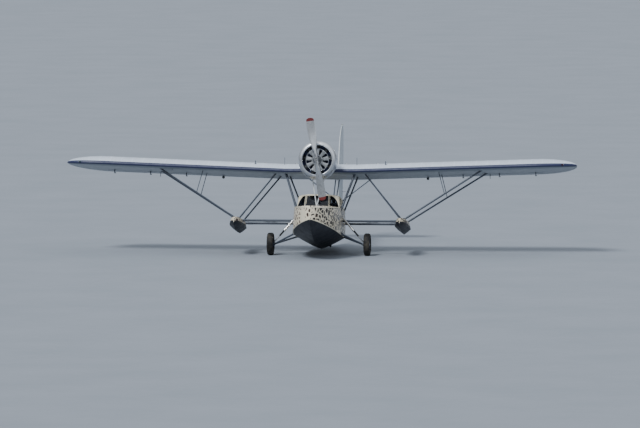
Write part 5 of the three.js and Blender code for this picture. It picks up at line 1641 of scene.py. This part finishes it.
# %% [markdown]
# The tyre is a turned section with two rows of tread blocks, set round it by the ring tree. Blocks that
# stand proud roughen the tyre's outline, which a bump can't do. The wheel is a spun disc with bolts and a
# cap, and everything is turned back by the aircraft's nine degrees, as the CAD's wheels are.

# %% Tyres and wheels
TYRE_HALF = [(0.205, 0.064), (0.214, 0.075), (0.232, 0.084), (0.258, 0.0915), (0.29, 0.0945), (0.315, 0.0905),
             (0.331, 0.0745), (0.3405, 0.055), (0.3432, 0.034), (0.344, 0.0)]
WHEEL = [
    (0.026, -0.062), (0.086, -0.056), (0.098, -0.050), (0.118, -0.031), (0.13, -0.0295), (0.178, -0.0345),
    (0.19, -0.041), (0.198, -0.058), (0.2046, -0.0635), (0.2046, 0.0635), (0.198, 0.058), (0.19, 0.041),
    (0.178, 0.0345), (0.13, 0.0295), (0.118, 0.031), (0.098, 0.046), (0.075, 0.056), (0.060, 0.062),
    (0, 0.064), (0, 0.042), (0.026, 0.042)]
TREAD_BLOCKS = 48


def mirrored(half):
    """A profile from its half: the near side, the middle and the far side."""
    return [(r, -x) for r, x in half] + half[-2::-1]


leaned = Matrix.Rotation(PITCH, 4, "X")
bead = turned([(0.262, 0.0905), (0.266, 0.0945), (0.272, 0.0945), (0.276, 0.0915)], 72, "X")
half = radians(360 / TREAD_BLOCKS)
section = ((0.339, -0.052), (0.3455, -0.046), (0.3455, -0.012), (0.339, -0.008))
tread_block = loft([[(x, r * sin(a), r * cos(a)) for r, x in section] for a in (-0.34 * half, 0.34 * half)])
in_ring = {"axis": (1, 0, 0), "at": (0, 0, 0)}
row = ring_of(tread_block, TREAD_BLOCKS, rubber, **in_ring)
other_row = to_side(row, "right")
other_row.transform(Matrix.Rotation(half / 2, 4, "X"))
bolt = [(0, 0.0705), (0.006, 0.0695), (0.0075, 0.067), (0.0075, 0.05), (0, 0.05)]
rim_bolt = [(0, 0.037), (0.006, 0.0365), (0.0075, 0.034), (0.0075, 0.025), (0, 0.025)]
bolt, rim_bolt = turned(bolt, 6, "X", (0, 0, 0.052)), turned(rim_bolt, 6, "X", (0, 0, 0.15))
cap = [(0, 0.077), (0.018, 0.0765), (0.026, 0.073), (0.030, 0.066), (0.030, 0.056), (0, 0.056)]
tyre = combined(mesh_of(joined(turned(mirrored(TYRE_HALF), 72, "X"), both(bead))), row, other_row)
bolts = combined(ring_of(bolt, 8, bright_steel, **in_ring), ring_of(rim_bolt, 12, bright_steel, **in_ring))
for name, mesh, finish, node in (("tyre_{}_rubber", tyre, rubber, "tyre_{}"),
                                 ("wheel_{}_bolts", bolts, bright_steel, ""),
                                 ("wheel_{}_disc", mesh_of(turned(WHEEL, 64, "X")), navy_paint, "wheel_{}"),
                                 ("wheel_{}_cap", mesh_of(turned(cap, 32, "X")), polished, "")):
    mesh.transform(Matrix.Translation(AXLE) @ leaned)
    add_pair(name, mesh, finish, body="wheel_{}", stands_for=node)

# %% [markdown]
# The tail wheel is small and hard and runs in a fork that swivels. The CAD's fork has the right plates
# already, so a copy with eased edges is enough. Its wheel is turned round the wheel's own joint.

# %% Tail wheel
TAIL_TYRE = [(0.079, -0.0285), (0.088, -0.030), (0.104, -0.0285), (0.112, -0.023), (0.1172, -0.013),
             (0.1183, 0), (0.1172, 0.013), (0.113, 0.023), (0.104, 0.0285), (0.088, 0.030), (0.079, 0.0285)]
HUB_HALF = [(0.0099, 0.030), (0.026, 0.030), (0.030, 0.020), (0.068, 0.014), (0.074, 0.026), (0.0789, 0.028)]
TAIL_HUB = [(r, -x) for r, x in HUB_HALF] + HUB_HALF[::-1]
at_tail = Matrix.Translation(place.inverted() @ Vector(joints["tail_wheel_spin"]["pos_m"])) @ leaned
fork = copy_of("tail_fork", 0.0025)
add_piece("tail_fork_plates", fork, strut_paint, body="tail_fork", stands_for="tail_fork")
for name, profile, finish, node in (("tail_tyre", TAIL_TYRE, rubber, "tail_wheel"),
                                    ("tail_wheel_hub", TAIL_HUB, navy_paint, "")):
    add_piece(name, moved(turned(profile, 48, "X"), at_tail), finish, body="tail_wheel", stands_for=node)
print("gear", totals)

# %% [markdown]
# ## Inside the cabin
# The panel and the control column are eased copies of their CAD nodes. The dials are one form set along the
# panel: a bezel, a dark face and a pale needle. They carry no lettering.

# %% Instrument panel and control column
for name, node, ease in (("instrument_panel_board", "instrument_panel", (0.003,)),
                         ("control_column_tube", "control_column", (0.0015, 2, 50))):
    add_piece(name, copy_of(node, *ease), iron_paint, stands_for=node)
PANEL_FACE = -0.33
DIALS = [(-0.40, -1.235, 0.045), (-0.28, -1.235, 0.045), (-0.16, -1.235, 0.045), (-0.04, -1.24, 0.052),
         (0.10, -1.24, 0.052), (0.23, -1.235, 0.045), (0.35, -1.235, 0.045)]
bezels, faces, needles = [], [], []
for k, (x, z, radius) in enumerate(DIALS):
    at = (x, PANEL_FACE, z)
    rim, a = radius - 0.007, 0.7 * k
    profile = [(rim, -0.002), (rim, 0.005), (radius - 0.003, 0.009), (radius, 0.006), (radius, -0.002)]
    bezels.append(turned(profile, 32, "Y", at))
    faces.append(turned([(0, -0.001), (0, 0.003), (rim + 0.001, 0.003), (rim + 0.001, -0.001)], 32, "Y", at))
    reach = 0.7 * radius
    needle = tube([(0, 0.0045, 0), (reach * sin(a), 0.0045, reach * cos(a))], [0.002, 0.0008], 6)
    needles.append(moved(needle, Matrix.Translation(at)))
for name, forms, finish in (("bezels", bezels, bright_steel), ("faces", faces, dark_paint_and_painted_shade),
                            ("needles", needles, white_paint)):
    add_piece("dial_" + name, joined(*forms), finish)

# %% [markdown]
# The cushions are leather over a soft filling. Each starts as a block a little smaller than the cushion,
# is remeshed into even small faces, and Cloth blows it up from inside. The movement is held to a few
# centimetres, so that the sides draw in between the corners and the cushion still fits its frame. The
# piping is laid on afterwards, on the nearest place of the blown surface.

# %% Cushions
SWELL = 0.024


def cushion(low, high):
    """A blown cushion from a block."""
    mesh = eased(mesh_of(block(low, high)), 0.028, 4)
    mesh = changed(mesh, "REMESH", mode="VOXEL", voxel_size=0.010)
    before = [v.co.copy() for v in mesh.vertices]
    made = as_object(mesh)
    cloth = made.modifiers.new("filling", "CLOTH")
    cloth.settings.use_pressure, cloth.settings.uniform_pressure_force = True, 4.0
    cloth.settings.effector_weights.gravity = 0.0
    for step_number in range(1, 21):
        bpy.context.scene.frame_set(step_number)
    mesh = applied(made)
    for v, was in zip(mesh.vertices, before):
        move = v.co - was
        if move.length > SWELL:
            v.co = was + move * (SWELL / move.length)
    return changed(mesh, "SUBSURF", levels=1, render_levels=1)


def piping(mesh, back, low, high):
    """A cord round the two long edges of a cushion, on its surface."""
    tree = BVHTree.FromPolygons([v.co for v in mesh.vertices], [tuple(f.vertices) for f in mesh.polygons])
    centre, size = (low + high) / 2, high - low
    round_z = size.z < size.y
    cords = []
    for share in (0.16, 0.84):
        path = []
        for a in [2 * pi * k / 48 for k in range(49)]:
            c, d = (0.55 * abs(v) ** 0.35 * (1 if v > 0 else -1) for v in (cos(a), sin(a)))
            e = share - 0.5
            p = centre + Vector((c * size.x, (d if round_z else e) * size.y, (e if round_z else d) * size.z))
            path.append(tree.find_nearest(back @ p)[0])
        cords.append(tube(path, 0.0045, 6))
    return joined(*cords)


# %% [markdown]
# A seat is a frame of bent tubes with a squab and a back cushion. The tubes are paths in side view, the
# same for every seat. Blowing a cushion up takes time, so each size is blown once and copied.

# %% Seats
SEATS = {"front_left": (0.10, 0.52, 0.06), "front_right": (-0.52, -0.10, 0.06), "rear": (-0.47, 0.47, 0.85)}
SEAT_LOW = FLOOR_HEIGHT + 0.001
EDGE = SWELL + 0.004
# (aft, up) of two opposite corners, and the lean back
CUSHIONS = {"squab": ((EDGE, 0.285), (0.345, 0.365), 0.0),
            "back": ((0.385, 0.44), (0.425, 0.79), -radians(11))}
SIDE_TUBES = (((0.02, 0.012), (0.01, 0.20), (0.05, 0.255), (0.37, 0.255), (0.415, 0.40), (0.475, 0.70)),
              ((0.36, 0.255), (0.40, 0.012)))
blown = {}
for name, (x0, x1, y) in SEATS.items():
    hinge = Vector((0, y + 0.41, SEAT_LOW + 0.44))
    for part, ((near, low_z), (far, high_z), lean) in CUSHIONS.items():
        low, high = (x0 + EDGE, y + near, SEAT_LOW + low_z), (x1 - EDGE, y + far, SEAT_LOW + high_z)
        back = Matrix.Translation(hinge) @ Matrix.Rotation(lean, 4, "X") @ Matrix.Translation(-hinge)
        kind = part, round(x1 - x0, 3)
        if kind not in blown:
            blown[kind] = x0, cushion(low, high)
        mesh = blown[kind][1].copy()
        mesh.transform(back @ Matrix.Translation((x0 - blown[kind][0], 0, 0)))
        cords = piping(mesh, back, Vector(low), Vector(high))
        pad = add_piece("seat_" + name + "_" + part, mesh, leather, smooth=60,
                        stands_for="seat_" + name if part == "squab" else "")
        add_piece("seat_" + name + "_" + part + "_piping", cords, leather)
    ends = (x0 + 0.035, x1 - 0.035)
    frames = [tube([(x, y + dy, SEAT_LOW + dz) for dy, dz in path], 0.011)
              for x in ends for path in SIDE_TUBES]
    frames += [tube([(x, y + dy, SEAT_LOW + dz) for x in ends], 0.010)
               for dy, dz in ((0.012, 0.2), (0.36, 0.255), (0.472, 0.68))]
    add_piece("seat_" + name + "_frame", joined(*frames), steel)
print("inside", totals)

# %% [markdown]
# ## Lights, vents and small fittings
# Small parts give the aircraft its scale. A navigation light is a glass cover over a painted socket: red
# to port, green to starboard, and clear on the rudder. All are turned profiles, set where the tip's own
# outline and the rudder's top lie.

# %% Navigation lights
tip_s = PANEL - 0.42
tip_at = Matrix.Translation((tip_s, swept(tip_chord(tip_s)) + 0.035, 0.012))
at_tip = set_panel @ tip_at @ Matrix.Rotation(-0.5, 4, "Z")
cover = turned([(0.03 * sin(a), -0.075 * cos(a)) for a in spread(0, pi / 2, 9)] + [(0, 0)], 20)
socket = turned([(0, -0.012), (0.033, -0.012), (0.034, 0.0), (0.028, 0.03), (0, 0.05)], 20)
for side, glass in (("left", red_lens), ("right", green_lens)):
    add_piece("tip_light_" + side, to_side(moved(cover, at_tip), side), glass)
add_pair("tip_light_{}_socket", moved(socket, at_tip), white_paint)
LIGHT_AT = (0, 6.665, 2.112)
ball = [(0.031 * sin(a), -0.031 * cos(a)) for a in spread(0, pi, 13)[1:-1]]
core = [(0, -0.03), (0.015, -0.03), *[(r * 0.8, z * 0.8) for r, z in ball], (0, 0.0248)]
stalk = [(0, -0.075), (0.016, -0.075), (0.013, -0.045), (0.024, -0.028), (0.024, -0.02), (0, -0.02)]
ball = [(0, -0.031), *ball, (0, 0.031)]
ball, core, stalk = (turned(profile, 20, "Z", LIGHT_AT) for profile in (ball, core, stalk))
add_piece("tail_light", ball, lamp_glass, body="rudder")
add_piece("tail_light_socket", joined(core, stalk), white_paint, body="rudder")


# %% [markdown]
# The tanks lie in the wing near the hull, so their caps and vent pipes stand on the upper skin there. Two
# lamps hang under the rear edge. The wing's section says how high its skin is at each of them, so nothing
# floats or sinks in.

# %% Vents, filler caps and lamps on the wing
def on_wing(x, y, side=1):
    """A point on the wing's upper (1) or lower (-1) skin."""
    _, z = wing_side(y / CHORD, side)
    s = abs(x) - CENTRE_HALF
    point = set_panel @ Vector((s, y, z)) if s > 0 else set_wing @ Vector((abs(x), y, z))
    return Vector((point.x if x > 0 else -point.x, point.y, point.z))


def line_from(base, *steps):
    return [base + Vector(step) for step in steps]


vents = []
for x, y, height, r in ((2.03, 0.24, 0.075, 0.013), (1.13, 0.30, 0.20, 0.006)):
    base, top = on_wing(x, y), height + 0.012
    foot = [(0, -0.01), (r * 2.4, -0.01), (r * 2.4, 0.004), (r, 0.012), (0, 0.012)]
    vents += [tube(line_from(base, (0, 0, -0.02), (0, 0, height), (0, -0.02, top), (0, -0.045, top)), r),
              turned(foot, 16, "Z", base)]
add_piece("tank_vents", both(*vents), strut_paint)
CAP = [(0, -0.01), (0.062, -0.01), (0.062, 0.003), (0.048, 0.005), (0.046, 0.016), (0.040, 0.020), (0, 0.020)]
caps = []
for base in (on_wing(0.78, 0.62), on_wing(1.75, 0.62)):
    bar = block(*line_from(base, (-0.034, -0.005, 0.018), (0.034, 0.005, 0.028)))
    caps += [turned(CAP, 28, "Z", base), bar]
add_piece("filler_caps", both(*caps), polished)
base = on_wing(3.2, 1.84, -1)
LAMP_DROP = (0, 0, -0.055)
body = [(0, 0.085), (0.02, 0.07), (0.036, 0.03), (0.042, -0.01), (0.044, -0.035), (0.040, -0.038),
        (0, -0.038)]
face = [(0, -0.044), (0.02, -0.043), (0.037, -0.038), (0.037, -0.034), (0, -0.034)]
body, face = (turned(profile, 24, "Y", base + Vector(LAMP_DROP)) for profile in (body, face))
add_piece("wing_lamps", both(body, tube(line_from(base, (0, 0, 0.02), LAMP_DROP), 0.012)), strut_paint)
add_piece("wing_lamp_glasses", both(face), lamp_glass)

# %% [markdown]
# What is left is thin: the pipe that feels the air speed, gear for tying up afloat, short struts, and the
# crossed wires that stiffen the outriggers, with a turnbuckle at one end. Tubes make nearly all of it.

# %% Pitot head, mooring gear, wires and a grab rail
base = on_wing(-4.6, 0.10, -1)
mast = line_from(base, (0, 0.05, 0.03), (0, -0.02, -0.16), (0, -0.10, -0.19), (0, -0.30, -0.19))
add_piece("pitot_head", tube(mast, [0.012, 0.010, 0.009, 0.005]), strut_paint)
cleats = []
for x, y, rows in ((0.20, -2.05, FOREBODY), (0.30, 2.55, AFTERBODY)):
    sheer_x, sheer_z, crown = flowing(rows, y)[3:]
    deck = Vector((x, y, sheer_z + (crown - sheer_z) * sqrt(1 - (x / sheer_x) ** 2)))
    bar = line_from(deck, (0, -0.09, 0.045), (0, -0.05, 0.05), (0, 0.05, 0.05), (0, 0.09, 0.045))
    cleats.append(tube(bar, [0.007, 0.011, 0.011, 0.007]))
    cleats += [tube(line_from(deck, (0, dy, -0.02), (0, dy, 0.045)), 0.012) for dy in (-0.03, 0.03)]
add_piece("mooring_cleats", both(*cleats), bright_steel)
add_piece("bow_eye", hoop(0.028, 0, 0.007, 24, axis="X", at=(0, -2.54, -1.62)), bright_steel)
jury, wires = [], []
for y in SPARS:
    low, high = (Vector(end) for end in wing_struts(y)[1][:2])
    jury.append(tube([low.lerp(high, 0.478), on_wing(3.66, y, -1) + Vector((0, 0, 0.02))], 0.011, 8))
for near, far in (SPARS, SPARS[::-1]):
    a, b = Vector((0.85, near, OUTRIGGER)), Vector((2.30, far, OUTRIGGER))
    screw = [a.lerp(b, share) for share in (0.08, 0.10, 0.18, 0.20)]
    wires += [tube([a, b], 0.004, 6), tube(screw, [0.004, 0.011, 0.011, 0.004], 8)]
add_piece("jury_struts", both(*jury), strut_paint)
add_piece("outrigger_wires", both(*wires), bright_steel)
rail = [(-0.12, 1.80, -0.945), (-0.12, 1.79, -0.925), (0.12, 1.79, -0.925), (0.12, 1.80, -0.945)]
add_piece("cabin_grab_rail", tube(rail, 0.007, 8), bright_steel)
print("fittings", totals)

# %% [markdown]
# The floor is plain and pale, and large enough that no view from around the aircraft sees its edge.

# %% Floor, sizes and the end
REACH = 1500.0
corners = [(x * REACH, y * REACH, 0) for x, y in ((-1, -1), (1, -1), (1, 1), (-1, 1))]
floor_mesh = bpy.data.meshes.new("floor")
floor_mesh.from_pydata(corners, [], [(0, 1, 2, 3)])
floor_mesh.materials.append(floor_finish)
floor = as_object(floor_mesh)
floor.name = "floor"
print("total", totals)
